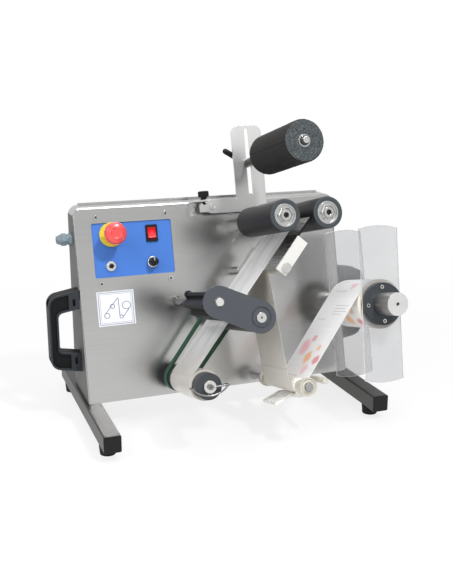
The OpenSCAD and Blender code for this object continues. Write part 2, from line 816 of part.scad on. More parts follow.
module press_arm() color("gainsboro") {
    corner = 14;
    left = press_s - arm_up / 2;
    low = pivot_t - arm_bar / 2;
    place([0, 0], arm_d) linear_extrude(arm_t) difference() {
        union() {
            translate([pivot_s, pivot_t]) circle(arm_bar / 2);
            translate([pivot_s, low]) square([press_s + arm_up / 2 - pivot_s, arm_bar]);
            translate([pivot_s - tail_end, pivot_t + tail_low]) square([tail_end, tail_high - tail_low]);
            translate([left, low]) square([arm_up, arm_top - corner - low]);
            translate([left + corner, low]) square([arm_up - 2 * corner, arm_top - low]);
            for (i = [-1, 1]) translate([press_s + i * (arm_up / 2 - corner), arm_top - corner])
                circle(corner);
        }
        translate([pivot_s, pivot_t]) circle(d = bolt_shank + 2 * fit);
        obround([press_s, slot_low + slot_w / 2], [press_s, slot_high - slot_w / 2], slot_w / 2);
        translate([left - 2, low + arm_bar]) circle(2.5);
    }
}

module press_pivot_bolt() color("lightgray") {
    place([pivot_s, pivot_t]) {
        bore(14, 0, arm_d - skin);
        bore(bolt_shank, arm_d - skin - over, arm_front + skin);
        translate([0, 0, arm_front + skin]) difference() {
            rod(12, 4);
            translate([0, 0, 1.5]) cylinder(d = 6, h = 4, $fn = 6);
        }
        stud();
        stud_nut();
    }
}

module arm_bracket() color("silver") {
    on_panel() difference() {
        union() {
            block(tab_left, tab_right, tab_low, tab_low + tab_t, 0, tab_front);
            block(tab_left, tab_left + 14, tab_low - 24, tab_low + over, 0, tab_t);
        }
        translate([adjuster_s, tab_low, adjuster_d]) rotate([-90, 0, 0])
            bore(adjuster_thread + 2 * fit, -over, tab_t + over);
        translate(bracket_screw) bore(screw_shank + 2 * skin, -over, tab_t + over);
    }
}

module arm_adjuster() color([0.1, 0.1, 0.1]) {
    ribs = 24;
    on_panel() translate([adjuster_s, adjuster_tip, adjuster_d]) rotate([-90, 0, 0]) {
        rod(adjuster_thread, adjuster_knob_low - adjuster_tip + over);
        bore(11, tab_low + tab_t + skin - adjuster_tip, adjuster_knob_low - adjuster_tip + over);
        translate([0, 0, adjuster_knob_low - adjuster_tip]) {
            rod(adjuster_knob_d - 1.4, adjuster_knob_h);
            for (i = [0 : ribs - 1]) rotate(i * 360 / ribs) translate([adjuster_knob_d / 2 - 0.9, 0, 1])
                cylinder(d = 1.8, h = adjuster_knob_h - 2);
        }
    }
}

module press_axle() color("silver") {
    place([press_s, press_t]) {
        bore(slot_w - 4 * fit, clamp_back, arm_front + over);
        bore(press_shoulder, arm_front + fit, press_back - skin);
        bore(press_axle_d, press_back - over, press_axle_end);
        translate([0, 0, press_front + fit]) pipe(press_axle_d + 4, press_axle_d - over, 2);
    }
}

module clamp_lever() color([0.07, 0.07, 0.07]) {
    hub = arm_d - fit - clamp_back;
    place([press_s, press_t], clamp_back) difference() {
        union() {
            rod(clamp_hub_d, hub);
            translate([0, 0, lever_t / 2]) rotate([0, 90, lever_angle]) {
                rod(lever_t, lever_len);
                translate([0, 0, lever_len]) sphere(d = lever_t);
            }
        }
        translate([0, 0, -over]) rod(slot_w - 2 * fit, hub + 2 * over);
    }
}

module press_roller_core() color("lightgray") {
    place([press_s, press_t], press_back) pipe(press_tube, press_axle_d + 2 * fit, press_len);
}

module press_roller_foam() color([0.2, 0.2, 0.21]) {
    place([press_s, press_t], press_back) pipe(press_d, press_tube + 2 * fit, press_len);
}

// A drive roller's core, turned in one with its shaft and the timing pulley behind the panel
module roller_core(s) color("lightgray") {
    nut = drive_core * 0.62;
    step = drive_core * 0.46;
    place([s, drive_t]) difference() {
        union() {
            bore(drive_shaft, pulley_back, drive_back + over);
            bore(2 * timing_r, pulley_back, pulley_front);
            bore(drive_core, drive_back, drive_front);
            bore(step, drive_front - 4, drive_front + 4);
        }
        translate([0, 0, drive_front - 3]) pipe(drive_core - 5, nut, 3 + over);
        bore(9, drive_front - 12, drive_front + 4 + over);
    }
}
module roller_sleeve(s) color([0.15, 0.15, 0.16]) {
    place([s, drive_t], drive_back) pipe(drive_d, drive_core + 2 * fit, drive_front - drive_back);
}
module left_roller_core() roller_core(drive_s);
module right_roller_core() roller_core(drive_right_s);
module left_roller_sleeve() roller_sleeve(drive_s);
module right_roller_sleeve() roller_sleeve(drive_right_s);

module roller_housings() color("silver") {
    back = -sheet - housing_flange_t;
    for (s = [drive_s, drive_right_s]) difference() {
        place([s, drive_t]) difference() {
            union() {
                bore(housing_flange_d, back, -sheet);
                bore(housing_d, back, housing_front);
            }
            bore(drive_shaft + 2 * fit, back - over, housing_front + over);
        }
        for (p = housing_screws) place(p) bore(screw_shank + 2 * fit, back + 1.5, 0);
    }
}

// Outline of a belt round pulleys of equal radius
module loop(points, r) {
    polygon(points);
    n = len(points);
    for (i = [0 : n - 1]) obround(points[i], points[(i + 1) % n], r);
}
module timing_belt() color([0.09, 0.09, 0.09]) {
    points = [traction_at, [drive_right_s, drive_t], [drive_s, drive_t]];
    place([0, 0], timing_belt_d - timing_belt_w / 2) linear_extrude(timing_belt_w) difference() {
        loop(points, timing_r + skin + belt_t);
        loop(points, timing_r + skin);
    }
}

module gearmotor() color([0.3, 0.32, 0.35]) {
    place(traction_at) difference() {
        union() {
            translate([0, 0, motor_back]) linear_extrude(motor_face - motor_back)
                round_box([motor_w, motor_w], 6);
            bore(motor_can_d, motor_can_back, motor_back + over);
            for (i = [-1, 1], j = [-1, 1]) translate([i * pillar_pitch / 2, j * pillar_pitch / 2])
                bore(pillar_d, motor_face - over, -sheet);
        }
        bore(traction_shaft_d + 2 * fit, traction_tail - 1, motor_face + over);
    }
}

module traction_shaft() color("lightgray") {
    place(traction_at) difference() {
        union() {
            bore(traction_shaft_d, traction_tail, traction_end);
            bore(2 * timing_r, pulley_back, pulley_front);
            bore(2 * drive_pulley_r, belt_d - belt_w / 2 - 1, belt_d + belt_w / 2 + 1);
            bore(traction_core, traction_back, traction_front);
        }
        bore(4, traction_end - 8, traction_end + over);
    }
}
module traction_sleeve() color([0.15, 0.15, 0.16]) {
    place(traction_at, traction_back)
        pipe(traction_d, traction_core + 2 * fit, traction_front - traction_back);
}

module support_post() color("silver") {
    groove = 1.5;
    place(post_at) {
        bore(post_d, 0, plate_back + plate_t + 3);
        bore(post_d + 6, 0, 6);
        translate([0, 0, plate_back + plate_t + fit]) difference() {
            pipe(post_d + 4, post_d - over, groove);
            translate([-2, -post_d, -over]) cube([4, post_d, groove + 2 * over]);
        }
        stud();
        stud_nut();
    }
}

module bearing_plate() color([0.28, 0.31, 0.34]) {
    ring = 35;
    on_panel() difference() {
        translate([0, 0, plate_back]) linear_extrude(plate_t) obround(post_at, traction_at, plate_r);
        translate(post_at) bore(post_d + 2 * fit, plate_back - over, plate_back + plate_t + over);
        translate(traction_at) {
            bore(traction_shaft_d + 2 * fit, plate_back - over, plate_back + plate_t + over);
            translate([0, 0, plate_back + plate_t - 1.5]) pipe(ring, ring - 5, 2 + over);
        }
    }
}

// Pinch lever: a pointed body on the post, with two cheeks for the pinch roller's pin
module pinch_lever() color([0.12, 0.12, 0.12]) {
    body = [[-26.5, -4], [-9, 6], [-4, 15], [8, 13], [13, 4],
        [10, -10], [20, -28], [23, -34], [-6.5, -22.5], [-4, -14]];
    on_panel() {
        difference() {
            union() {
                translate([post_s, post_t, cheek_back]) linear_extrude(cheek_front - cheek_back)
                    polygon(body);
                for (d = [cheek_back, cheek_front - cheek_t]) translate([0, 0, d]) linear_extrude(cheek_t) {
                    obround(post_at, pinch_at, pinch_r);
                    obround(post_at, thumb_at, thumb_d / 2 + 2.5);
                }
            }
            translate(post_at) bore(post_d + 2 * fit, cheek_back - over, cheek_front + over);
        }
        translate(pinch_at) bore(pinch_pin, cheek_back + over, cheek_front - over);
        translate(thumb_at) {
            bore(thumb_d, cheek_back, cheek_front + 2);
            translate([0, 0, cheek_back - 9]) cylinder(d1 = 2, d2 = thumb_d, h = 9);
        }
    }
}

module pinch_roller() color([0.18, 0.18, 0.18]) {
    from = cheek_back + cheek_t + 2 * skin;
    to = cheek_front - cheek_t - 2 * skin;
    place(pinch_at, from) pipe(pinch_d, pinch_pin + 2 * fit, to - from);
}

// Outline of an open belt round two pulleys: the far arc of each, joined by the straight runs
function belt_arc(at, r, from, sweep) = [for (i = [0 : belt_steps])
    at + r * [cos(from + sweep * i / belt_steps), sin(from + sweep * i / belt_steps)]];
module open_belt(p, rp, q, rq) {
    v = q - p;
    a = atan2(v[1], v[0]);
    b = acos((rp - rq) / norm(v));
    polygon(concat(belt_arc(p, rp, a + b, 360 - 2 * b), belt_arc(q, rq, a - b, 2 * b)));
}
belt_steps = 32;
module rewind_belt() color([0.03, 0.30, 0.17]) {
    place([0, 0], belt_d - belt_w / 2) linear_extrude(belt_w) difference() {
        open_belt(traction_at, drive_pulley_r + skin + belt_t, rewind_at, rewind_pulley_r + skin + belt_t);
        open_belt(traction_at, drive_pulley_r + skin, rewind_at, rewind_pulley_r + skin);
    }
}

module rewind_shaft() color("lightgray") {
    place(rewind_at) {
        difference() {
            union() {
                bore(rewind_shaft_d, 0, rewind_front + 7);
                bore(rewind_shaft_d + 8, 0, belt_d - rewind_pulley_w / 2 - skin);
                bore(rewind_shaft_d + 9, rewind_front + skin, rewind_front + 7);
            }
            bore(4, rewind_front, rewind_front + 7 + over);
        }
        stud();
        stud_nut();
    }
}
module rewind_roller() color([0.22, 0.23, 0.25]) {
    back = belt_d - rewind_pulley_w / 2;
    place(rewind_at) difference() {
        union() {
            bore(2 * rewind_pulley_r, back, back + rewind_pulley_w);
            bore(rewind_d, back, rewind_front);
        }
        bore(rewind_shaft_d + 2 * fit, back - over, rewind_front + over);
    }
}
module rewind_liner() color([0.80, 0.79, 0.76]) {
    place(rewind_at, web_back) pipe(2 * wrap_r, rewind_d + 2 * fit, web_w);
}

// Wire bail in front of the rewind roller, on a small hub at the shaft's end
module rewind_bail() color("silver") {
    bow_r = 40;
    half = 30;
    sweep = asin(half / bow_r);
    bow_d = rewind_front + 9.5;
    place(rewind_at) {
        difference() {
            union() {
                translate([0, bow_r * cos(sweep), bow_d]) rotate(270 - sweep)
                    rotate_extrude(angle = 2 * sweep) translate([bow_r, 0]) circle(d = bail_d);
                for (i = [-1, 1]) translate([i * half, 0, 0]) bore(bail_d + 0.8, bow_d - 14, bow_d + 2);
                translate([0, 0, rewind_front + 7 + fit]) {
                    rod(bail_hub, bail_d);
                    translate([0, 0, bail_d / 2]) rotate([0, 90, 0]) rod(bail_d, half);
                }
            }
            bore(4, rewind_front, bow_d + 5);
        }
    }
}

// A frame with x up the peel blade to its edge and y square to it, on the panel
module on_blade() on_panel() translate([tip_s, tip_t, 0]) rotate(peel_angle) children();

module peel_blade() color("whitesmoke") {
    on_blade() translate([0, 0, peel_back]) linear_extrude(peel_front - peel_back) {
        translate([-blade_len, -blade_t]) square([blade_len - blade_t / 2, blade_t]);
        translate([-blade_t / 2, -blade_t / 2]) circle(blade_t / 2);
    }
}
module peel_side(len, top, d) {
    on_blade() difference() {
        translate([-blade_len, -side_h, d]) cube([len, side_h + top, side_t]);
        translate([-peel_rod_e, feed_m - out(peel_rod / 2)])
            bore(peel_shaft_d + 2 * fit, d - over, d + side_t + over);
    }
}
module peel_side_plates() color("whitesmoke") {
    peel_side(side_front_len, 0, peel_front);
    peel_side(side_rear_len, 5, peel_back - side_t);
}
module peel_shaft() color("lightgray") {
    place(peel_rod_at) {
        bore(peel_shaft_d, 0, peel_front + side_t + fit);
        bore(peel_shaft_d + 6, 0, peel_back - side_t);
        translate([0, 0, peel_front + side_t]) difference() {
            rod(peel_shaft_d + 4, 4);
            translate([0, 0, 2]) cylinder(d = 7, h = 4, $fn = 6);
        }
        stud();
        stud_nut();
    }
}
module peel_guide_rod() color([0.90, 0.87, 0.74]) {
    place(peel_rod_at, peel_back + skin)
        pipe(peel_rod, peel_shaft_d + 2 * fit, peel_front - peel_back - 2 * skin);
}

module guide_shaft() color("lightgray") {
    place(guide_at) {
        bore(guide_shaft_d, 0, guide_end);
        bore(guide_shaft_d + 6, 0, guide_rear_collar - skin);
        stud();
        stud_nut();
    }
}
module guide_roller() color([0.90, 0.87, 0.76]) {
    place(guide_at, guide_roller_back)
        pipe(guide_d, guide_shaft_d + 2 * fit, guide_roller_front - guide_roller_back);
}
module guide_collars() color([0.90, 0.87, 0.74]) {
    ring_end = guide_roller_front + 2 * skin + finger_ring_w;
    place(guide_at, guide_rear_collar)
        pipe(collar_d, guide_shaft_d + 2 * fit, guide_roller_back - skin - guide_rear_collar);
    place(guide_at) difference() {
        union() {
            bore(collar_hub, ring_end + skin, collar_front);
            bore(collar_d, collar_front - collar_t, collar_front);
        }
        bore(guide_shaft_d + 2 * fit, ring_end, guide_end);
        translate([0, 0, collar_front - 2]) pipe(collar_d - 4, guide_shaft_d + 7, 2 + over);
    }
}

// Plastic fingers below the lower guide, on a ring clamped to its shaft
module strip_fingers() color([0.93, 0.91, 0.84]) {
    ring_back = guide_roller_front + skin;
    leaf_t = 4;
    leaf_len = 34;
    leaf_start = 45;
    leaf_share = 0.88;
    leaf_back = web_back + leaf_start;
    leaf_front = web_front - 13;
    leaf_drop = collar_d / 2 + 1;
    fingers = 4;
    pitch = (leaf_front - leaf_back) / fingers;
    spine = 12;
    place(guide_at) {
        difference() {
            union() {
                bore(finger_ring_d, ring_back, ring_back + finger_ring_w);
                block(-spine / 2, spine / 2, -leaf_drop - leaf_t, -5, ring_back, ring_back + finger_ring_w);
            }
            bore(guide_shaft_d + 2 * fit, ring_back - over, ring_back + finger_ring_w + over);
        }
        block(-spine / 2, spine / 2, -leaf_drop - leaf_t, -leaf_drop, leaf_back, ring_back + over);
        translate([-spine / 2, -leaf_drop, 0]) rotate(22) for (i = [0 : fingers - 1])
            block(-leaf_len, 2, -leaf_t, 0, leaf_back + i * pitch, leaf_back + (i + leaf_share) * pitch);
    }
}
module strip_rod() color([0.90, 0.87, 0.74]) {
    place(strip_rod_at) {
        bore(strip_rod_d, 0, strip_rod_len);
        stud();
        stud_nut();
    }
}

module unwind_shaft() color("lightgray") {
    place(roll_at) {
        difference() {
            union() {
                bore(bar_d, 0, bar_front);
                bore(shoulder_d, hub_back - clear_t - skin - shoulder_t, hub_back - clear_t - skin);
            }
            bore(6, bar_front - 10, bar_front + over);
        }
        stud();
        stud_nut();
    }
}
module unwind_hub() color([0.13, 0.13, 0.14]) {
    screw_ring = 30;
    flange_back = hub_front + clear_t;
    place(roll_at) {
        translate([0, 0, hub_back]) pipe(hub_sleeve_d, bar_d + 2 * fit, hub_front - hub_back);
        difference() {
            translate([0, 0, flange_back]) pipe(hub_sleeve_d, bar_d + 2 * fit, hub_flange_t);
            for (a = [0 : 90 : 270]) rotate(a) translate([screw_ring, 0, 0])
                bore(8, flange_back + hub_flange_t - 4, flange_back + hub_flange_t + over);
        }
    }
}
module label_roll() color([0.93, 0.91, 0.88]) {
    place(roll_at, web_back) pipe(roll_d, core_d, web_w);
}
module roll_plates() color([0.85, 0.88, 0.90]) {
    place(roll_at) for (i = [0, 1])
        translate([0, 0, i == 0 ? hub_front : hub_back - clear_t]) rotate(-clear_turn[i])
        linear_extrude(clear_t) difference() {
            intersection() {
                circle(d = clear_len, $fn = 128);
                square([clear_w, clear_len + 2 * over], center = true);
            }
            circle(d = bar_d + 2 * fit);
        }
}

// The label strip: straight runs between arcs, each arc a list of centre, radius, start, end and
// the side that its centre lies on (1 left, -1 right of the travel)
feed_reach = out(roll_d / 2) + out(guide_d / 2);
feed_line = roll_at - guide_at;
feed_angle = atan2(feed_line[1], feed_line[0]) + asin(feed_reach / norm(feed_line));
rise_line = peel_rod_at - guide_at;
rise_step = out(peel_rod / 2) - out(guide_d / 2);
rise_angle = atan2(rise_line[1], rise_line[0]) + asin(rise_step / norm(rise_line));
turn_r = (liner_m - feed_m) / 2;
turn_at = along(-blade_t / 2, (liner_m + feed_m) / 2);
web_arcs = [
    [roll_at, out(roll_d / 2), feed_angle + 70, feed_angle + 90, 1],
    [guide_at, out(guide_d / 2), feed_angle - 90, rise_angle - 270, -1],
    [peel_rod_at, out(peel_rod / 2), rise_angle + 90, peel_angle + 90, -1],
    [turn_at, turn_r, peel_angle - 90, peel_angle + 90, 1],
    [rewind_at, out(wrap_r), peel_angle + 90, peel_angle + 91, 1],
];
arc_step = 11.25;
function arc_points(arc, offset) = let (sweep = arc[3] - arc[2], steps = ceil(abs(sweep) / arc_step))
    [for (i = [0 : steps]) let (a = arc[2] + sweep * i / steps)
        arc[0] + (arc[1] - arc[4] * offset) * [cos(a), sin(a)]];
function web_side(offset) = [for (arc = web_arcs) each arc_points(arc, offset)];
function reversed(list) = [for (i = [len(list) - 1 : -1 : 0]) list[i]];
module label_web() color([0.92, 0.91, 0.87]) {
    place([0, 0], web_back) linear_extrude(web_w)
        polygon(concat(web_side(web_t / 2), reversed(web_side(-web_t / 2))));
}

front_panel();
rear_cover();
left_skid();
right_skid();
skid_end_caps();
feet();
left_handle();
right_handle();
panel_screws();
frame_bolts();
cable_gland();
control_plate();
estop_base();
estop_stem();
estop_button();
rocker_bezel();
rocker_key();
jack_socket();
speed_knob();
control_board();
press_arm();
press_pivot_bolt();
arm_bracket();
arm_adjuster();
press_axle();
clamp_lever();
press_roller_core();
press_roller_foam();
left_roller_core();
left_roller_sleeve();
right_roller_core();
right_roller_sleeve();
roller_housings();
timing_belt();
gearmotor();
traction_shaft();
traction_sleeve();
support_post();
bearing_plate();
pinch_lever();
pinch_roller();
rewind_belt();
rewind_shaft();
rewind_roller();
rewind_liner();
rewind_bail();
peel_blade();
peel_side_plates();
peel_shaft();
peel_guide_rod();
guide_shaft();
guide_roller();
guide_collars();
strip_fingers();
strip_rod();
unwind_shaft();
unwind_hub();
label_roll();
roll_plates();
label_web();
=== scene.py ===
import json
import math

import bmesh
import bpy
import numpy as np
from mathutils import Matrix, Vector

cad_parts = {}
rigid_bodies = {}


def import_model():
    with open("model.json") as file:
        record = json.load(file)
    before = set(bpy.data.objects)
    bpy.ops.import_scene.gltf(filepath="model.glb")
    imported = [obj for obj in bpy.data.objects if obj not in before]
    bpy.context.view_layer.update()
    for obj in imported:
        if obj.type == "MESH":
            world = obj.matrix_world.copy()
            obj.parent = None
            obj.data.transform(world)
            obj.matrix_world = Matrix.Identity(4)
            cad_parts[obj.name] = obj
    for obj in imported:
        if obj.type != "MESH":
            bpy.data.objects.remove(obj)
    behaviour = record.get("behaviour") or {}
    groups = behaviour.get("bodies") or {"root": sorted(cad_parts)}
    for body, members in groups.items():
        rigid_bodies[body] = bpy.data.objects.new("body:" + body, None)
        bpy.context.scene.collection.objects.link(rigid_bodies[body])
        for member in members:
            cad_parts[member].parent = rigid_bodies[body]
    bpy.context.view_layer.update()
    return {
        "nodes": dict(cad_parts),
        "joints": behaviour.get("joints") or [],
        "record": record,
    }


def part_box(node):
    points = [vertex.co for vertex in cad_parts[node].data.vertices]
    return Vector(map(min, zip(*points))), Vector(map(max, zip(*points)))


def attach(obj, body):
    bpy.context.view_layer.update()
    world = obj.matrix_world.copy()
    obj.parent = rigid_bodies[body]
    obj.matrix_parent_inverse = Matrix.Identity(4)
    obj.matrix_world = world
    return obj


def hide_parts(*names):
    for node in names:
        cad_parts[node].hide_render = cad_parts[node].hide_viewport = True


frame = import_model()

# Camera
# It stands to the left of the machine's middle and a little above it, with a lens that is somewhat longer
# than normal.
swing = math.radians(20.6)
drop = math.radians(14.93)
camera = bpy.data.objects.new("camera", bpy.data.cameras.new("camera"))
camera.location = (-0.5302, -1.4216, 0.6340)
camera.rotation_euler = (math.pi / 2 - drop, 0, -swing)
camera.data.lens = 52.86
camera.data.sensor_width = 36
scene_objects = bpy.context.scene.collection.objects
scene_objects.link(camera)
bpy.context.scene.camera = camera
bpy.context.scene.view_settings.view_transform = "Standard"


# Studio
# A white room with a pale floor that fades to white, a small lamp in front, and large soft ones at the left,
# above and behind. Mirrors and clear sheets see the room too, darker above in front and at both ends.
class Shade:
    """An output socket of a node tree. Operators on it add Math nodes, so a pattern reads as a formula."""

    # numpy's numbers leave the operators to this class
    __array_ufunc__ = None

    def __init__(self, socket):
        self.socket = socket

    def node(self, kind, settings=None, sockets=None, output=0):
        """Adds a shader node of that type: its settings first, then the values or links of its sockets."""
        made = self.socket.id_data.nodes.new("ShaderNode" + kind)
        for key, value in (settings or {}).items():
            setattr(made, key, value)
        link(made, sockets or {})
        return Shade(made.outputs[output])

    def math(self, operation, *values):
        return self.node("Math", {"operation": operation}, dict(enumerate(values)))

    def __add__(self, other):
        return self.math("ADD", self, other)

    def __sub__(self, other):
        return self.math("SUBTRACT", self, other)

    def __rsub__(self, other):
        return self.math("SUBTRACT", other, self)

    def __mul__(self, other):
        return self.math("MULTIPLY", self, other)

    def __truediv__(self, other):
        return self.math("DIVIDE", self, other)

    def __mod__(self, other):
        return self.math("FLOORED_MODULO", self, other)

    def __abs__(self):
        return self.math("ABSOLUTE", self)

    __radd__ = __add__
    __rmul__ = __mul__


def link(node, sockets):
    """Sets or links the sockets of a node."""
    for key, value in sockets.items():
        if isinstance(value, Shade):
            node.id_data.links.new(node.inputs[key], value.socket)
        else:
            node.inputs[key].default_value = value


def step(value, low, high):
    """0 below low, 1 above high, and a smooth rise between them."""
    sockets = {"Value": value, "From Min": low, "From Max": high}
    return value.node("MapRange", {"interpolation_type": "SMOOTHSTEP"}, sockets)


def parts(vector):
    """The X, Y and Z of a vector."""
    split = vector.node("SeparateXYZ", {}, {0: vector})
    return [Shade(socket) for socket in split.socket.node.outputs]


def rays(tree):
    """Camera rays, and mirror or clear rays, as two Shades of 0 or 1."""
    path = tree.nodes.new("ShaderNodeLightPath")
    glossy = Shade(path.outputs["Is Glossy Ray"])
    mirrored = glossy.math("MAXIMUM", glossy, Shade(path.outputs["Is Transmission Ray"]))
    return Shade(path.outputs["Is Camera Ray"]), mirrored


# Strength of the room's light, and of its walls in mirrors: low and high in front, behind, and at the ends
ambient = 0.38
room_low = 0.98
room_high = 0.56
room_back = 0.85
room_ends = 0.25
# Where the walls change, as parts of a direction of length 1
rise_band = (0.10, 0.42)
back_band = (-0.6, 0.5)
ends_band = (0.50, 0.85)
room = bpy.data.worlds.new("white_room")
bpy.context.scene.world = room
room.use_nodes = True
seen, mirrored = rays(room.node_tree)
side_way, depth_way, height_way = parts(seen.node("TexCoord", output="Generated"))
front = room_low + (room_high - room_low) * step(height_way, *rise_band)
behind = step(depth_way, *back_band)
ends = step(abs(side_way), *ends_band)
walls = (front + behind * (room_back - front)) * (1 - (1 - room_ends) * ends)
strength = seen + (1 - seen) * (mirrored * walls + (1 - mirrored) * ambient)
link(room.node_tree.nodes["Background"], {"Color": (1, 1, 1, 1), "Strength": strength})

floor_half = 6.0
floor_white = 0.88
floor_lift = 0.80
floor_near = 0.40
floor_far = 1.30
corners = np.array([[-1, -1, 0], [1, -1, 0], [1, 1, 0], [-1, 1, 0]]) * floor_half
floor_mesh = bpy.data.meshes.new("floor")
floor_mesh.from_pydata(corners.tolist(), [], [(0, 1, 2, 3)])
floor = bpy.data.objects.new("floor", floor_mesh)
scene_objects.link(floor)
floor_paint = bpy.data.materials.new("floor_white")
floor_paint.use_nodes = True
floor_nodes = floor_paint.node_tree.nodes
seen, mirrored = rays(floor_paint.node_tree)
matt = floor_nodes["Principled BSDF"]
link(matt, {"Base Color": (floor_white, floor_white, floor_white, 1), "Roughness": 0.9})
glow = seen.node("Emission", {}, {"Color": (1, 1, 1, 1), "Strength": 1.0})
ground = seen.node("TexCoord", output="Object")
away = seen.node("VectorMath", {"operation": "LENGTH"}, {0: ground}, "Value")
white = floor_lift + (1 - floor_lift) * step(away, floor_near, floor_far)
lifted = white * seen.math("MAXIMUM", seen, mirrored)
blend = seen.node("MixShader", {}, {0: lifted, 1: Shade(matt.outputs[0]), 2: glow})
link(floor_nodes["Material Output"], {"Surface": blend})
floor_mesh.materials.append(floor_paint)
lamp_aim = np.array([0, 0, 0.25])


def lamp(name, place, power, size):
    """A square soft lamp that looks from its place at the machine's middle."""
    light = bpy.data.lights.new(name, "AREA")
    light.energy = power
    light.size = size
    holder = bpy.data.objects.new(name, light)
    holder.location = place
    way = lamp_aim - place
    flat = math.hypot(way[0], way[1])
    holder.rotation_euler = (math.atan2(flat, -way[2]), 0, math.atan2(-way[0], way[1]))
    scene_objects.link(holder)


lamp("key_lamp", (0.55, -1.55, 2.25), power=38, size=0.25)
lamp("left_lamp", (-1.7, -1.0, 1.7), power=22, size=1.4)
lamp("top_lamp", (0.0, -0.4, 2.4), power=14, size=1.0)
lamp("back_lamp", (-0.4, 1.1, 2.6), power=8, size=1.4)

# Front panel and rear cover
# The housing is two folded sheets of brushed stainless steel: the front one leans back, with its top and side
# walls bent on, and the rear one is screwed into its flanges. All that is in front stands square to its face.
mm = 0.001
joints = {joint["name"]: joint for joint in frame["joints"]}
out_way = np.array(joints["traction_spin"]["axis"])
across_way = np.array([1.0, 0.0, 0.0])
up_way = np.cross(out_way, across_way)
panel_axes = np.stack([across_way, up_way, out_way])
panel_low, panel_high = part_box("front_panel")
panel_foot = np.array([0.0, panel_low.y, panel_low.z])
panel_turn = -math.acos(up_way[1])


def srgb(red, green, blue):
    """A colour as the eye sees it, each part 0 to 255, made linear for the shader."""
    part = np.array([red, green, blue]) / 255
    linear = np.where(part <= 0.04045, part / 12.92, ((part + 0.055) / 1.055) ** 2.4)
    return (*linear.tolist(), 1.0)


def darker(colour, share):
    """The same colour with that share of its light."""
    return (*[part * share for part in colour[:3]], 1.0)


def mix(factor, first, second):
    """Colour from first at factor 0 to second at factor 1."""
    return factor.node("Mix", {"data_type": "RGBA"}, {0: factor, 6: first, 7: second}, 2)


def turned(place):
    """Object coordinates turned to the panel's axes: across, up and out."""
    return place.node("Mapping", {}, {"Vector": place, "Rotation": (panel_turn, 0, 0)})


def noise(place, scale, detail=3.0):
    """Smooth noise from 0 to 1 over a place."""
    return place.node("TexNoise", {}, {"Vector": place, "Scale": scale, "Detail": detail})


def streaks(place, stretch, detail=4.0):
    """Noise that is drawn out along the panel's axes: it is longest along the axis of the least stretch."""
    drawn = place.node("VectorMath", {"operation": "MULTIPLY"}, {0: turned(place), 1: stretch})
    return noise(drawn, 1.0, detail)


def finish(recipe, name=None):
    """The material of a recipe, which takes the Object coordinates and gives the shader's sockets; Bump there
    is a height from 0 to 1 and its depth in metres. Without a name it bears the recipe's own."""
    material = bpy.data.materials.new(name or recipe.__name__)
    material.use_nodes = True
    nodes = material.node_tree.nodes
    place = Shade(nodes.new("ShaderNodeTexCoord").outputs["Object"])
    sockets = recipe(place)
    if "Bump" in sockets:
        height, depth = sockets.pop("Bump")
        sockets["Normal"] = place.node("Bump", {}, {"Height": height, "Distance": depth})
    link(nodes["Principled BSDF"], sockets)
    return material


def dress(material, *nodes):
    """Gives CAD nodes, which stay as they are, a material."""
    for name in nodes:
        mesh = frame["nodes"][name].data
        mesh.materials.clear()
        mesh.materials.append(material)


steel_tone = srgb(208, 208, 207)
shaded_wall_band = (panel_high.x - 1.2 * mm, panel_high.x - 0.2 * mm)


@finish
def panel_steel(place):
    """Sheet steel brushed across: fine streaks, broad clouds, and side walls duller than the face, with
    painted shade darkening them.
    """
    streak = streaks(place, (7, 800, 800))
    cloud = streaks(place, (3, 6, 6), 3.0)
    worn = 0.5 * streak + 0.5 * cloud
    # The side walls' dark tone is painted shade; they are also rougher and less metallic than the face
    wall = step(abs(parts(place)[0]), *shaded_wall_band)
    face = mix(worn, darker(steel_tone, 0.74), steel_tone)
    return {
        "Base Color": mix(0.9 * wall, face, darker(steel_tone, 0.17)),
        "Roughness": 0.18 + 0.12 * worn + 0.36 * wall,
        "Metallic": 1.0 - 0.4 * wall,
        "Bump": (streak, 0.015 * mm),
    }


dress(panel_steel, "front_panel", "rear_cover")

# Skids, end caps and feet
# Two square stainless tubes carry the housing's ends. They are plugged with black plastic caps and stand on
# rubber feet.
body_of = {node: body for body, nodes in frame["record"]["behaviour"]["bodies"].items() for node in nodes}


def brushed(name, colour, rough, stretch):
    """Metal with fine streaks along the axis of the least stretch, and broad faint clouds."""
    def recipe(place):
        streak = streaks(place, stretch)
        worn = 0.6 * streak + 0.4 * noise(place, 7.0)
        return {
            "Base Color": mix(worn, darker(colour, 0.86), colour),
            "Roughness": rough - 0.07 + 0.14 * worn,
            "Metallic": 1.0,
            "Bump": (streak, 0.02 * mm),
        }
    return finish(recipe, name)


def moulded(name, colour, rough, grain=900.0, depth=0.03 * mm):
    """Moulded plastic: an even colour, slightly cloudy, with a fine spark-eroded grain."""
    def recipe(place):
        fine = noise(place, grain, 2.0)
        cloud = noise(place, 11.0)
        return {
            "Base Color": mix(0.5 * fine + 0.5 * cloud, darker(colour, 0.82), colour),
            "Roughness": rough - 0.06 + 0.12 * cloud,
            "Specular IOR Level": 0.30,
            "Bump": (fine, depth),
        }
    return finish(recipe, name)


def wear(piece, material, body):
    """Puts a piece's material on it, and lets it ride on a body."""
    piece.data.materials.append(material)
    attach(piece, body)


def go_with(piece, material, node):
    """A piece that rides on the body of a CAD node."""
    wear(piece, material, body_of[node])


def stand_for(piece, material, node):
    """A piece that shows in place of a CAD node: it rides on the node's body, and the node is hidden."""
    go_with(piece, material, node)
    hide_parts(node)


join_gap = 0.002 * mm
flat_angle = math.radians(1)
sharp_angle = math.radians(40)


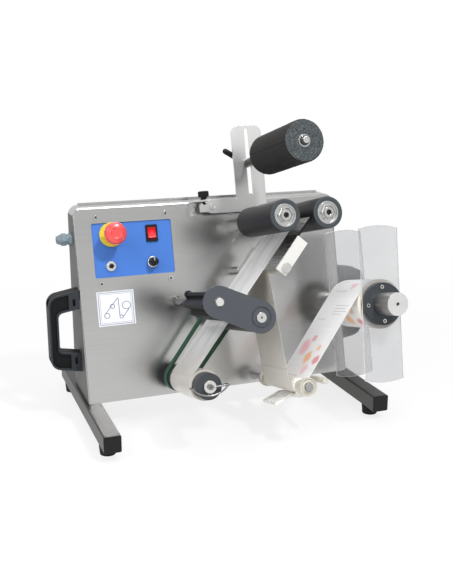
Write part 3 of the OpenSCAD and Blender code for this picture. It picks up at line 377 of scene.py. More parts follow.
def edged(material, *nodes, edge):
    """Copies of CAD nodes in their places: the loose triangles are joined, flat faces made whole, and sharp
    edges rounded off by that width."""
    for node in nodes:
        mesh = frame["nodes"][node].data.copy()
        mesh.materials.clear()
        mesh.shade_smooth()
        piece = bpy.data.objects.new(node + "_edged", mesh)
        scene_objects.link(piece)
        for kind, settings in (
            ("WELD", {"merge_threshold": join_gap}),
            ("DECIMATE", {"decimate_type": "DISSOLVE", "angle_limit": flat_angle}),
            ("BEVEL", {"width": edge, "segments": 2, "limit_method": "ANGLE", "angle_limit": sharp_angle}),
            ("WEIGHTED_NORMAL", {"weight": 100}),
        ):
            modifier = piece.modifiers.new(kind.lower(), kind)
            for key, value in settings.items():
                setattr(modifier, key, value)
        stand_for(piece, material, node)


long_streaks = (900, 900, 12)
dress(brushed("tube_steel", srgb(94, 93, 92), 0.44, long_streaks), "left_skid", "right_skid")
black_plastic = moulded("black_plastic", srgb(17, 18, 20), 0.42)
foot_rubber = moulded("foot_rubber", srgb(20, 20, 21), 0.68, grain=500.0, depth=0.06 * mm)
edged(foot_rubber, "feet", edge=1.2 * mm)
edged(black_plastic, "skid_end_caps", edge=1 * mm)

# Handles
# Black moulded carrying handles are bolted on both walls. They have a channel along the grip's front and
# a slot in each foot.
grip_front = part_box("left_handle")[0].y
channel_shade_band = (grip_front + 1.5 * mm, grip_front + 4.5 * mm)


@finish
def grip_plastic(place):
    """Black plastic with a fine grain; the rim at the front has a painted highlight and the channel in it
    painted shade.
    """
    fine = noise(place, 900.0, 2.0)
    # Painted light: paler on the rim at the front, dark deeper in the channel
    deep = step(parts(place)[1], *channel_shade_band)
    return {
        "Base Color": mix(deep, srgb(50, 54, 59), srgb(15, 16, 18)),
        "Roughness": 0.48 + 0.1 * fine,
        "Specular IOR Level": 0.22,
        "Bump": (fine, 0.03 * mm),
    }


edged(grip_plastic, "left_handle", "right_handle", edge=1 * mm)

# Screws, bolts and the cable gland
# Plated steel screws hold the panel, its parts and the rear cover; a grey nylon gland takes the mains lead.
bright_tone = srgb(226, 225, 222)
screw_streaks = (500, 500, 40)
bright_steel = brushed("bright_steel", bright_tone, 0.22, screw_streaks)
screw_steel = brushed("screw_steel", srgb(212, 212, 211), 0.16, screw_streaks)
edged(screw_steel, "panel_screws", edge=0.5 * mm)
dress(bright_steel, "frame_bolts")
edged(moulded("gland_nylon", srgb(122, 137, 146), 0.4), "cable_gland", edge=0.6 * mm)

# Control plate and board
# A sheet painted satin blue closes the cut-out in the panel from behind and carries the switches; the circuit
# board is fixed behind it.
blue_paint = moulded("blue_paint", srgb(76, 128, 214), 0.34, grain=1400.0, depth=0.015 * mm)
dress(blue_paint, "control_plate")


@finish
def board_lacquer(place):
    """Green solder lacquer over copper tracks that run across and up."""
    track = step(streaks(place, (30, 300, 30), 3.0), 0.52, 0.56)
    return {
        "Base Color": mix(track, srgb(14, 74, 40), srgb(34, 116, 62)),
        "Roughness": 0.3 + 0.1 * track,
        "Bump": (track, 0.04 * mm),
    }


dress(board_lacquer, "control_board")

# Emergency stop
# A yellow plastic collar, a grey stem and a glossy red mushroom head with a shallow dish and a raised ring
# on top.
edged(moulded("yellow_plastic", srgb(232, 208, 66), 0.36), "estop_base", edge=0.7 * mm)
dress(moulded("stem_grey", srgb(120, 120, 122), 0.4), "estop_stem")
seam_gap = 0.0005 * mm
smooth_angle = math.radians(35)
corner_steps = 5
corner_share = 0.48
tiny = 1e-9


def on_panel(across, up, out):
    """Points of the part's frame from places on the panel, as whole arrays."""
    places = np.stack(np.broadcast_arrays(across, up, out), axis=-1)
    return panel_foot + places @ panel_axes


def panel_places(points):
    """Places on the panel (across, up, out) from points of the part's frame."""
    return (np.asarray(points) - panel_foot) @ panel_axes.T


def node_places(node):
    """A CAD node's points as places on the panel."""
    mesh = frame["nodes"][node].data
    flat = np.empty(3 * len(mesh.vertices))
    mesh.vertices.foreach_get("co", flat)
    return panel_places(flat.reshape(-1, 3))


def axis_of(joint):
    """Where a joint's axis meets the panel: across and up."""
    return panel_places(joints[joint]["pos_m"])[:2]


def spread(places, axis):
    """Distances of places from an axis square to the panel."""
    return np.hypot(*(places[:, :2] - axis).T)


def reach_of(node, axis):
    """A node's greatest radius about an axis, and its lowest and highest place out of the panel."""
    places = node_places(node)
    return spread(places, axis).max(), places[:, 2].min(), places[:, 2].max()


def surface(name, grid, closed=False, capped=False, row_mark=None, column_mark=None):
    """A mesh through a grid of points whose columns close on themselves; its rows may close too, or caps fill
    the first and last one. The marks give the UV map: across the columns, and along the rows. Seams and poles
    are closed, faces turned outwards, and shaded smooth up to an angle."""
    rows, columns = grid.shape[:2]
    row = np.arange(rows if closed else rows - 1)[:, None, None] + np.array([0, 0, 1, 1])
    column = np.arange(columns)[None, :, None] + np.array([0, 1, 1, 0])
    row, column = np.broadcast_arrays(row, column)
    faces = ((row % rows) * columns + column % columns).reshape(-1, 4).tolist()
    row_mark = np.arange(rows + 1.0) if row_mark is None else row_mark
    column_mark = np.arange(columns + 1.0) if column_mark is None else column_mark
    marks = np.stack([column_mark[column], row_mark[row]], axis=-1).reshape(-1, 2)
    if capped:
        ring = np.arange(columns)
        faces += [ring[::-1].tolist(), (ring + (rows - 1) * columns).tolist()]
        marks = np.concatenate([marks, np.zeros((2 * columns, 2))])
    mesh = bpy.data.meshes.new(name)
    mesh.from_pydata(grid.reshape(-1, 3).tolist(), [], faces)
    mesh.uv_layers.new(name="UVMap").data.foreach_set("uv", marks.ravel())
    shape = bmesh.new()
    shape.from_mesh(mesh)
    bmesh.ops.remove_doubles(shape, verts=shape.verts, dist=seam_gap)
    bmesh.ops.recalc_face_normals(shape, faces=shape.faces)
    shape.to_mesh(mesh)
    shape.free()
    mesh.shade_smooth()
    mesh.set_sharp_from_angle(angle=smooth_angle)
    piece = bpy.data.objects.new(name, mesh)
    scene_objects.link(piece)
    return piece


def rounded(points, radius, closed=False):
    """An outline with each corner drawn as a curve: it leaves the one edge and joins the next at the radius,
    or less where an edge is short, along (1-t)^2 A + 2t(1-t) B + t^2 C."""
    points = np.asarray(points, float)
    before = np.roll(points, 1, axis=0) - points
    after = np.roll(points, -1, axis=0) - points
    before_len = np.linalg.norm(before, axis=1, keepdims=True)
    after_len = np.linalg.norm(after, axis=1, keepdims=True)
    most = np.minimum(before_len, after_len) * corner_share
    cut = np.minimum(most, np.broadcast_to(radius, len(points))[:, None])
    start = (points + before / np.maximum(before_len, tiny) * cut)[:, None]
    end = (points + after / np.maximum(after_len, tiny) * cut)[:, None]
    t = np.linspace(0, 1, corner_steps)[None, :, None]
    curve = (1 - t) ** 2 * start + 2 * t * (1 - t) * points[:, None] + t ** 2 * end
    if closed:
        return curve.reshape(-1, 2)
    return np.concatenate([points[:1], curve[1:-1].reshape(-1, 2), points[-1:]])


def lengths(points):
    """Length along a line of points, from 0 at the first one."""
    return np.append(0, np.cumsum(np.linalg.norm(np.diff(points, axis=0), axis=1)))


def about(axis, radius, angle, out):
    """Points axis + radius * (cos a, sin a) about an axis square to the panel, at a place out of it."""
    return on_panel(axis[0] + radius * np.cos(angle), axis[1] + radius * np.sin(angle), out)


def lathe(name, axis, profile, closed=False, turns=96, flute=None):
    """A profile of (radius, place out of the panel) turned about an axis square to the panel. A flute is a
    factor on the radius for each profile point and angle. The UV map is the turn from 0 to 1 and the length
    along the profile in metres."""
    angle = np.arange(turns) / turns * 2 * math.pi
    radius = profile[:, :1] * (1 if flute is None else flute(profile, angle))
    grid = about(axis, radius, angle, profile[:, 1:])
    length = lengths(np.concatenate([profile, profile[:1]]))
    return surface(name, grid, closed, row_mark=length, column_mark=np.arange(turns + 1) / turns)


stop_axis = axis_of("estop_twist")
stop_r, stop_low, stop_high = reach_of("estop_button", stop_axis)
# The head's outline from its middle outwards and back, in shares of its radius and height
stop_shares = np.array([
    (0.0, 0.93), (0.42, 0.93), (0.48, 0.985), (0.55, 0.985), (0.61, 0.95), (0.86, 0.885),
    (1.0, 0.66), (0.99, 0.44), (0.86, 0.36), (0.70, 0.30), (0.64, 0.0), (0.30, 0.0), (0.0, 0.0),
])
stop_profile = rounded(stop_shares * (stop_r, stop_high - stop_low) + (0, stop_low), 1.6 * mm)
stop_tone = srgb(236, 78, 78)


@finish
def stop_red(place):
    """Polished plastic: a deep even colour under a clear skin, with a faint moulding ripple."""
    ripple = noise(place, 60.0)
    return {
        "Base Color": mix(ripple, darker(stop_tone, 0.88), stop_tone),
        "Roughness": 0.26 + 0.08 * ripple,
        "Coat Weight": 0.5,
        "Coat Roughness": 0.08,
        "Bump": (ripple, 0.02 * mm),
    }


stop_head = lathe("stop_head", stop_axis, stop_profile)
stand_for(stop_head, stop_red, "estop_button")

# Screw recesses
# The four screws at the corners of the control plate have hexagon sockets; a black hexagon laid on each head
# is painted shade.
recess_r, socket_shade_deep, socket_shade_lift = 1.8 * mm, 1 * mm, 0.06 * mm
head_reach = 9.5 * mm
screw_places = node_places("panel_screws")
plate_low = node_places("control_plate").min(axis=0)
plate_high = node_places("control_plate").max(axis=0)


def centre_of(places):
    """The middle of the box round some places: across and up."""
    return (places.min(axis=0) + places.max(axis=0))[:2] / 2


def screw_near(across, up):
    """The screw head that lies nearest to a place on the panel: its middle across and up, and its top."""
    nearest = screw_places[spread(screw_places, (across, up)).argmin(), :2]
    head = screw_places[spread(screw_places, nearest) < head_reach]
    return *centre_of(head), head[:, 2].max()


def disc(radius, top, deep):
    """The profile of a solid disc: its face, its wall and its back."""
    return np.array([(0, top), (radius, top), (radius, top - deep), (0, top - deep)])


left, upper, head_top = screw_near(plate_low[0], plate_high[1])
right, lower, _ = screw_near(plate_high[0], plate_low[1])
# A black hexagon just above each head is painted shade of its socket
socket_shade_shape = disc(recess_r, head_top + socket_shade_lift, socket_shade_deep)
for rise, level in (("upper", upper), ("lower", lower)):
    for side, place in (("left", left), ("right", right)):
        socket_shade = lathe(f"{rise}_{side}_recess", (place, level), socket_shade_shape, turns=6)
        go_with(socket_shade, black_plastic, "panel_screws")

# Mains switch
# A red rocker that lights up tips in a black bezel, which snaps into the blue plate.
edged(black_plastic, "rocker_bezel", edge=0.6 * mm)
rocker_axis = axis_of("rocker_tilt")


def panel_shade(place):
    """Places on the panel (across, up, out) in a shader, from Object coordinates."""
    foot = (panel_axes @ panel_foot).tolist()
    return parts(place.node("VectorMath", {"operation": "SUBTRACT"}, {0: turned(place), 1: foot}))


def away_from(across, up, point):
    """Distance on the panel's plane from a point."""
    side = across - point[0]
    rise = up - point[1]
    return across.math("SQRT", side * side + rise * rise)


@finish
def lit_red(place):
    """Red plastic lit from behind by a small bulb, so it is palest in the middle."""
    across, up = panel_shade(place)[:2]
    far = away_from(across, up, rocker_axis)
    glow = 1 - step(far, 1 * mm, 11 * mm)
    bulb = 1 - step(far, 0.5 * mm, 3.5 * mm)
    return {
        "Base Color": mix(glow, srgb(176, 6, 18), srgb(216, 12, 26)),
        "Roughness": 0.3 + 0.1 * glow,
        "Specular IOR Level": 0.2,
        "Emission Color": mix(bulb, mix(glow, srgb(120, 0, 10), srgb(210, 10, 24)), srgb(255, 120, 120)),
        "Emission Strength": 0.36,
    }


edged(lit_red, "rocker_key", edge=0.5 * mm)

# Socket
# A nickel-plated jack socket with a black insert is screwed into the blue plate.
even_streaks = (300, 300, 300)
socket_nickel = brushed("socket_nickel", srgb(238, 238, 237), 0.2, even_streaks)
edged(socket_nickel, "jack_socket", edge=0.5 * mm)
jack_places = node_places("jack_socket")
jack_hole = 3.6 * mm
insert_top = jack_places[:, 2].max() + 0.1 * mm
# The black disc over the hole is partly the socket's insert and partly painted shade of the hole
insert_shape = rounded(disc(jack_hole, insert_top, insert_top), 0.4 * mm)
go_with(lathe("jack_insert_shade", centre_of(jack_places), insert_shape), black_plastic, "jack_socket")

# Speed knob
# A fluted black cap with a pointer line, on a skirt of turned aluminium.
knob_axis = axis_of("speed_turn")
knob_r, _, knob_top = reach_of("speed_knob", knob_axis)
knob_low = 1 * mm
cap_r = 0.74 * knob_r
skirt_top = knob_low + 3.2 * mm
skirt_slope = 1.2 * mm
flutes = 18
flute_share = 0.06


def fluted(profile, angle):
    """Shallow flutes round the cap's wall: 1 - share (1 - cos(flutes a)) / 2, none on its face."""
    wall = (profile[:, :1] > 0.9 * cap_r) * (profile[:, 1:] > skirt_top)
    return 1 - flute_share * wall * (0.5 - 0.5 * np.cos(flutes * angle))


def slab(name, low, high, levels):
    """A flat plate on the panel between a low and a high corner (across, up), and between two levels."""
    corners = low + (high - low) * np.array([[0, 0], [1, 0], [1, 1], [0, 1]])
    return surface(name, on_panel(*corners.T, levels[:, None]), capped=True)


cap_shape = [(0, knob_top), (cap_r, knob_top), (cap_r, skirt_top), (cap_r, knob_low), (0, knob_low)]
knob_cap = lathe("knob_cap", knob_axis, rounded(cap_shape, 1.2 * mm), turns=180, flute=fluted)
stand_for(knob_cap, black_plastic, "speed_knob")
skirt_shape = [
    (cap_r, knob_low), (knob_r, knob_low), (knob_r, skirt_top - skirt_slope), (0.9 * knob_r, skirt_top),
    (cap_r, skirt_top),
]
knob_skirt = lathe("knob_skirt", knob_axis, rounded(skirt_shape, 0.5 * mm, closed=True), closed=True)
wear(knob_skirt, socket_nickel, "speed_knob")
pointer_half = 0.7 * mm
pointer_low = knob_axis + (-pointer_half, 0.25 * cap_r)
pointer_high = knob_axis + (pointer_half, 0.92 * cap_r)
pointer_levels = knob_top + np.array([-1, 0.15]) * mm
knob_pointer = slab("knob_pointer", pointer_low, pointer_high, pointer_levels)
wear(knob_pointer, socket_nickel, "speed_knob")

# Press arm, its bracket, bolt and adjuster
# A slotted flat steel arm swings on a shouldered bolt. A ribbed knob on a screw in an angle bracket stops its
# tail, and a black lever clamps the axle in its slot.
arm_steel = brushed("arm_steel", srgb(226, 226, 225), 0.3, (900, 10, 900))
edged(arm_steel, "press_arm", "arm_bracket", edge=0.4 * mm)
edged(bright_steel, "press_pivot_bolt", edge=0.5 * mm)
edged(black_plastic, "arm_adjuster", "clamp_lever", edge=0.6 * mm)

# Press roller
# A tube of black foam with one glued seam is drawn over a steel core, which turns on the axle in the arm's
# slot.
press_axis = axis_of("press_spin")
foam_r, foam_low, foam_high = reach_of("press_roller_foam", press_axis)
core_r, _, core_high = reach_of("press_roller_core", press_axis)
foam_rows = 150
foam_turns = 300
foam_edge = 3.2 * mm
pore_deep = 0.28 * mm
pore_reach = 1.1
pore_seed = 4
seam_deep = 1.0 * mm
seam_half = math.radians(1.3)
seam_at = math.radians(182)


def grain(shape, reach, seed):
    """Seeded noise over a grid that closes on itself, smoothed over a reach in grid steps, about -1 to 1."""
    raw = np.random.default_rng(seed).normal(size=shape)
    waves = [np.exp(-0.5 * (2 * math.pi * np.fft.fftfreq(n) * reach) ** 2) for n in shape]
    soft = np.fft.ifft2(np.fft.fft2(raw) * np.outer(*waves)).real
    return soft / (2.5 * soft.std())


def foam_skin(profile, angle):
    """Factor on the radius of the foam's wall: small open pores, and one seam along the tube."""
    wall = profile[:, :1] > 0.75 * foam_r
    pores = pore_deep * grain((len(profile), len(angle)), pore_reach, pore_seed)
    seam = seam_deep * np.exp(-((angle - seam_at) / seam_half) ** 2)
    return 1 + wall * (pores - seam) / foam_r


foam_corners = [(core_r, foam_low), (foam_r, foam_low), (foam_r, foam_high), (core_r, foam_high)]
foam_outline = rounded(foam_corners, [0, foam_edge, foam_edge, 0], closed=True)
outline_len = lengths(foam_outline)
marks = np.linspace(0, outline_len[-1], foam_rows)
foam_profile = np.stack([np.interp(marks, outline_len, side) for side in foam_outline.T], axis=1)
press_foam = lathe("press_foam", press_axis, foam_profile, True, foam_turns, foam_skin)


@finish
def foam_black(place):
    """Open black foam: pores of many sizes, paler where a cell wall catches the light and on the cut end."""
    pore = noise(place, 900.0, 4.0)
    cell = place.node("TexVoronoi", {}, {"Vector": place, "Scale": 620.0}, "Distance")
    wall = step(cell, 0.25, 0.75)
    end = step(panel_shade(place)[2], foam_high - 1 * mm, foam_high)
    speck = step(noise(place, 760.0, 2.0), 0.45, 0.70)
    skin = mix(wall * pore, srgb(14, 13, 12), srgb(50, 49, 47))
    cut = mix(speck, srgb(46, 52, 55), srgb(112, 120, 123))
    return {
        "Base Color": mix(0.85 * end, skin, cut),
        "Roughness": 0.75 + 0.15 * pore,
        "Bump": (0.5 * pore + 0.5 * wall, 0.35 * mm),
    }


stand_for(press_foam, foam_black, "press_roller_foam")
edged(bright_steel, "press_roller_core", edge=0.4 * mm)
lathe_rings = (30, 30, 1500)
axle_shade_band = (foam_low, foam_low + 30 * mm)


def machined(place, stretch, mask, tones, rough, depth=0.02 * mm):
    """Turned or ground steel: fine streaks from the first tone to the second, and the third tone where a mask
    is 1. Its roughness is given as the least one and its rise over the streaks."""
    streak = streaks(place, stretch)
    return {
        "Base Color": mix(mask, mix(streak, *tones[:2]), tones[2]),
        "Roughness": rough[0] + rough[1] * streak,
        "Metallic": 1.0,
        "Bump": (streak, depth),
    }


@finish
def axle_steel(place):
    """Turned steel with painted shade darkening it behind the roller, and bright at its end."""
    tones = (srgb(196, 196, 193), bright_tone, srgb(72, 72, 68))
    # The dark tone behind the roller is painted shade
    return machined(place, lathe_rings, 1 - step(panel_shade(place)[2], *axle_shade_band), tones, (0.24, 0.1))


edged(axle_steel, "press_axle", edge=1 * mm)
# A ring where a washer sits on the core's end; its dark tone is painted shade of the recess round the axle
washer_in, washer_out, washer_slope = 5.6 * mm, 8.2 * mm, 0.5 * mm
washer_low, washer_rim, washer_top = core_high + np.array([0.1, 0.6, 2.6]) * mm
washer_shape = [
    (washer_in, washer_low), (washer_out, washer_low), (washer_out, washer_rim),
    (washer_out - washer_slope, washer_top), (washer_in, washer_top),
]
washer_and_shade = lathe("press_washer_shade", press_axis, rounded(washer_shape, 0.2 * mm, closed=True), closed=True)
go_with(washer_and_shade, brushed("washer_shade_black", srgb(84, 84, 82), 0.34, even_streaks), "press_axle")

# Drive rollers and their housings
# Rubber sleeves on turned aluminium cores run in steel housings that are screwed to the panel from the front.
# A nut closes each core's end; a black disc in its bore is painted shade.
drive_end = reach_of("left_roller_sleeve", axis_of("left_roller_spin"))[2]
cut_band = (drive_end - 1.2 * mm, drive_end - 0.4 * mm)


@finish
def ground_rubber(place):
    """Ground black rubber: fine grinding rings on the wall, and slate-grey cut ends."""
    fine = streaks(place, (60, 60, 2600), 2.0)
    cut = step(panel_shade(place)[2], *cut_band)
    return {
        "Base Color": mix(cut, mix(fine, srgb(25, 24, 25), srgb(41, 39, 40)), srgb(58, 64, 68)),
        "Roughness": 0.46 + 0.1 * fine,
        "Specular IOR Level": 0.38,
        "Bump": (fine, 0.04 * mm),
    }


def bore_of(node, axis):
    """A node's least radius about an axis."""
    return spread(node_places(node), axis).min()


def sleeve(name, axis, node, material, edge, turns=96):
    """A tube in place of a round CAD node with the node's own bore, and with its edges rounded off."""
    radius, low, high = reach_of(node, axis)
    bore = bore_of(node, axis)
    outline = rounded([(bore, low), (radius, low), (radius, high), (bore, high)], edge, closed=True)
    stand_for(lathe(name, axis, outline, True, turns), material, node)


for side in ("left", "right"):
    drive_axis = axis_of(f"{side}_roller_spin")
    sleeve(f"{side}_drive_rubber", drive_axis, f"{side}_roller_sleeve", ground_rubber, edge=1.5 * mm)
turned_aluminium = brushed("turned_aluminium", srgb(215, 215, 214), 0.26, lathe_rings)
edged(turned_aluminium, "left_roller_core", "right_roller_core", edge=0.5 * mm)
nut_steel = brushed("nut_steel", srgb(176, 176, 175), 0.2, lathe_rings)
nut_in, nut_out, nut_tall, nut_slope = 8.6 * mm, 12.6 * mm, 5 * mm, 1 * mm
bore_shade_r, bore_shade_deep = 4.3 * mm, 4 * mm
nut_sunk = 2 * mm
for side in ("left", "right"):
    core = f"{side}_roller_core"
    hub_axis = axis_of(f"{side}_roller_spin")
    nut_top = reach_of(core, hub_axis)[2] - nut_sunk
    nut_shape = np.array([
        (nut_in, nut_top - nut_tall), (nut_out, nut_top - nut_tall), (nut_out, nut_top - nut_slope),
        (0.9 * nut_out, nut_top), (nut_in, nut_top),
    ])
    go_with(lathe(f"{side}_hub_nut", hub_axis, nut_shape, True, turns=6), nut_steel, core)
    # A black disc in the core's bore is painted shade of the hole
    go_with(lathe(f"{side}_hub_bore_shade", hub_axis, disc(bore_shade_r, nut_top, bore_shade_deep)), black_plastic, core)
housing_steel = brushed("housing_steel", srgb(200, 199, 196), 0.24, lathe_rings)
edged(housing_steel, "roller_housings", edge=0.6 * mm)

# Motor and belts
# A grey geared motor and a black toothed belt drive the rollers behind the panel; a green belt drives the
# rewind in front of it.
dress(moulded("motor_paint", srgb(112, 116, 122), 0.4), "gearmotor")
dress(moulded("belt_black", srgb(34, 34, 34), 0.6), "timing_belt")
dress(moulded("belt_green", srgb(10, 72, 46), 0.42, grain=700.0), "rewind_belt")

# Traction roller, post and bearing plate
# A rubber-covered roller pulls the liner. Its shaft runs in a slate-grey plate on the end of a steel post.
rubber_black = moulded("rubber_black", srgb(42, 41, 41), 0.5, grain=1300.0, depth=0.05 * mm)
sleeve("traction_rubber", axis_of("traction_spin"), "traction_sleeve", rubber_black, edge=1 * mm)
turned_steel = brushed("turned_steel", bright_tone, 0.2, lathe_rings)
edged(turned_steel, "traction_shaft", edge=0.5 * mm)
post_end = node_places("support_post")[:, 2].max()
post_band = (post_end - 1 * mm, post_end - 0.4 * mm)


@finish
def post_steel(place):
    """Turned steel, dull along the post and bright on its faced end."""
    tones = (srgb(128, 128, 127), srgb(154, 154, 153), srgb(238, 238, 236))
    return machined(place, lathe_rings, step(panel_shade(place)[2], *post_band), tones, (0.2, 0.1))


edged(post_steel, "support_post", edge=0.5 * mm)
slate_coat = moulded("slate_coat", srgb(78, 82, 88), 0.46, grain=700.0, depth=0.08 * mm)
edged(slate_coat, "bearing_plate", edge=1.1 * mm)

# Pinch lever
# Two black cheeks joined by a thumb rod swing on the post and press a small rubber roller on the liner.
edged(moulded("lever_black", srgb(30, 30, 31), 0.62), "pinch_lever", edge=0.8 * mm)
sleeve("pinch_rubber", axis_of("pinch_spin"), "pinch_roller", rubber_black, edge=1 * mm)

# Rewind
# The empty liner winds on a grey anodised roller that turns on a fixed shaft; a wire clip holds its end.
edged(moulded("rewind_grey", srgb(66, 69, 73), 0.4), "rewind_roller", edge=0.6 * mm)
edged(turned_steel, "rewind_shaft", edge=0.5 * mm)
dress(brushed("wire_steel", srgb(150, 150, 150), 0.26, even_streaks), "rewind_bail")

# Peel unit
# The strip runs under a ground steel blade and turns sharply round its edge, where the label comes off.
# White painted side plates carry the blade on a steel shaft, and a plastic rod leads the strip to it.
edged(moulded("white_paint", srgb(226, 225, 221), 0.36), "peel_side_plates", edge=0.4 * mm)
square_way = axis_of("pinch_spin") - axis_of("traction_spin")
square_way = square_way / np.linalg.norm(square_way)
blade_way = np.array([square_way[1], -square_way[0]])
blade_places = node_places("peel_blade")[:, :2]
blade_tip = (blade_places @ blade_way).max()
tip_shade_band = (40 * mm, 62 * mm)


@finish
def blade_steel(place):
    """Ground steel, with painted shade darkening it towards the edge that the strip turns on."""
    across, up = panel_shade(place)[:2]
    far = blade_tip - (across * blade_way[0] + up * blade_way[1])
    tones = (srgb(192, 192, 191), srgb(206, 206, 205), srgb(46, 46, 48))
    # The dark tone near the edge is painted shade between the blade and the roller
    return machined(place, long_streaks, 1 - step(far, *tip_shade_band), tones, (0.24, 0.06), 0.004 * mm)


edged(blade_steel, "peel_blade", edge=0.3 * mm)
edged(turned_steel, "peel_shaft", edge=0.5 * mm)
cream_nylon = moulded("cream_nylon", srgb(210, 206, 193), 0.44)
dress(cream_nylon, "peel_guide_rod")

# Lower guide
# The strip turns round a free plastic roller between cream collars; white leaves below keep it flat.
sleeve("guide_tube", axis_of("guide_spin"), "guide_roller", cream_nylon, edge=1 * mm)
edged(cream_nylon, "guide_collars", "strip_rod", edge=1 * mm)
edged(moulded("leaf_white", srgb(246, 245, 240), 0.4), "strip_fingers", edge=0.6 * mm)
edged(nut_steel, "guide_shaft", edge=0.6 * mm)

# Unwind bar and hub
# A stainless bar stands on the panel. On it the black hub's sleeve and flange, with four socket screws in its
# pockets, clamp the roll's clear plates.
roll_axis = axis_of("unwind_spin")
ring_pitch = 0.6 * mm
bar_end = reach_of("unwind_shaft", roll_axis)[2]
faced_highlight_band = (bar_end - 0.6 * mm, bar_end - 0.2 * mm)


@finish
def bar_steel(place):
    """Dull drawn bar with lengthwise streaks; its sawn end is faced on a lathe, in fine rings."""
    across, up, out = panel_shade(place)
    far = away_from(across, up, roll_axis)
    ring = 0.5 + 0.5 * far.math("SINE", far * (2 * math.pi / ring_pitch))
    streak = streaks(place, (700, 700, 10))
    # The faced end is smoother, and its near-white tone there is a painted highlight
    faced = step(out, *faced_highlight_band)
    return {
        "Base Color": mix(faced, mix(streak, srgb(176, 175, 173), srgb(200, 199, 197)), srgb(246, 246, 245)),
        "Roughness": 0.34 + 0.1 * streak - 0.16 * faced,
        "Metallic": 1.0,
        "Bump": (ring + 0.3 * streak, 0.03 * mm),
    }


edged(bar_steel, "unwind_shaft", edge=1 * mm)
edged(moulded("black_anodised", srgb(58, 62, 67), 0.34), "unwind_hub", edge=0.7 * mm)
hub_screws = 4
hub_screw_ring, hub_screw_r = 30 * mm, 3.6 * mm
hub_top = reach_of("unwind_hub", roll_axis)[2]
head_low, socket_low, head_high = hub_top - np.array([3.8, 2.3, 0.3]) * mm
head_shape = [
    (recess_r, socket_low), (recess_r, head_high), (hub_screw_r, head_high), (hub_screw_r, head_low),
    (recess_r, head_low),
]
head_outline = rounded(head_shape, 0.4 * mm, closed=True)
for number in range(hub_screws):
    turn = number * 2 * math.pi / hub_screws
    screw_axis = roll_axis + hub_screw_ring * np.array([math.cos(turn), math.sin(turn)])
    head = lathe(f"hub_screw_{number + 1}", screw_axis, head_outline, True, turns=48)
    wear(head, bright_steel, body_of["unwind_hub"])

# Label strip
# Backing paper carries white printed labels from the roll, with their faces to the lower guide, up under
# the blade. There they come off, and the bare glossy backing runs back between the traction rollers to the
# rewind.
web_t = 0.4 * mm
web_gap = 0.3 * mm
guide_axis, rewind_axis = axis_of("guide_spin"), axis_of("rewind_spin")
rod_axis = centre_of(node_places("peel_guide_rod"))
blade_low, blade_high = (blade_places @ square_way).min(), (blade_places @ square_way).max()
blade_t = blade_high - blade_low


def strip_round(node, axis):
    """Radius of the strip's middle where it runs round a node."""
    return reach_of(node, axis)[0] + web_gap + web_t / 2


def way_of(start, end, shift):
    """Angle of a straight run that touches two circles, whose radii differ (or add up) to shift."""
    line = end - start
    return math.atan2(line[1], line[0]) + math.asin(shift / np.linalg.norm(line))


blade_angle = math.atan2(blade_way[1], blade_way[0])
roll_round, guide_round = strip_round("label_roll", roll_axis), strip_round("guide_roller", guide_axis)
rod_round, wound_round = strip_round("peel_guide_rod", rod_axis), strip_round("rewind_liner", rewind_axis)
feed_angle = way_of(guide_axis, roll_axis, roll_round + guide_round)
rise_angle = way_of(guide_axis, rod_axis, rod_round - guide_round)
turn_axis = blade_way * (blade_tip - blade_t / 2) + square_way * (blade_low + blade_high) / 2
turn_round = blade_t / 2 + web_gap + web_t / 2
quarter = math.pi / 2
roll_wrap = 0.35
wound_wrap = 0.02
# Each bend: its axis, radius, first and last angle, and the side of the travel that its axis lies on
bends = [
    (roll_axis, roll_round, feed_angle + quarter - roll_wrap, feed_angle + quarter, 1),
    (guide_axis, guide_round, feed_angle - quarter, rise_angle - 3 * quarter, -1),
    (rod_axis, rod_round, rise_angle + quarter, blade_angle + quarter, -1),
    (turn_axis, turn_round, blade_angle - quarter, blade_angle + quarter, 1),
    (rewind_axis, wound_round, blade_angle + quarter, blade_angle + quarter + wound_wrap, 1),
]
blade_bend = 3
bend_steps = 24


def strip_line(offset):
    """Points along the strip, that far to the left of its middle: each bend is an arc of radius less
    side * offset, and the straight runs lie between the arcs' ends."""
    arcs = []
    for axis, radius, first, last, side in bends:
        angle = np.linspace(first, last, bend_steps)[:, None]
        arcs.append(axis + (radius - side * offset) * np.hstack([np.cos(angle), np.sin(angle)]))
    return np.concatenate(arcs)


web_low, web_high = reach_of("label_web", roll_axis)[1:]
web_wide = web_high - web_low
strip_columns = 4
strip_len = lengths(strip_line(0))
tip_len = strip_len[blade_bend * bend_steps + bend_steps // 2]
tail_end = strip_len[-1]
tail_start = tail_end - 75 * mm
# The ring round the strip's section: along the label face from back to front, then back along the other face.
# Its marks are 0 to 1 on the label face and 2 to 3 on the other
outs = np.linspace(web_low, web_high, strip_columns)
ring_out = np.concatenate([outs, outs[::-1]])
ring_side = np.repeat([-web_t / 2, web_t / 2], strip_columns)
ring_lines = np.stack([strip_line(offset) for offset in ring_side], axis=1)
strip_grid = on_panel(ring_lines[..., 0], ring_lines[..., 1], ring_out)
label_face = np.linspace(0, 1, strip_columns)
ring_mark = np.concatenate([label_face, 3 - label_face, [2]])
strip_mark = np.append(strip_len, tail_end)
strip = surface("label_strip", strip_grid, capped=True, row_mark=strip_mark, column_mark=ring_mark)
# A long printed label and a short ruled one take turns
label_pitch = 179 * mm
short_label = 64 * mm
label_gap = 3 * mm
label_shift = 33.8 * mm
roll_shift = 137 * mm
edge_share = 0.035
edge_soft = 0.4 * mm
print_pink, print_orange, print_rose = srgb(246, 160, 170), srgb(250, 178, 96), srgb(226, 100, 106)
liner_tone = srgb(204, 200, 194)
blot_wander = 12 * mm
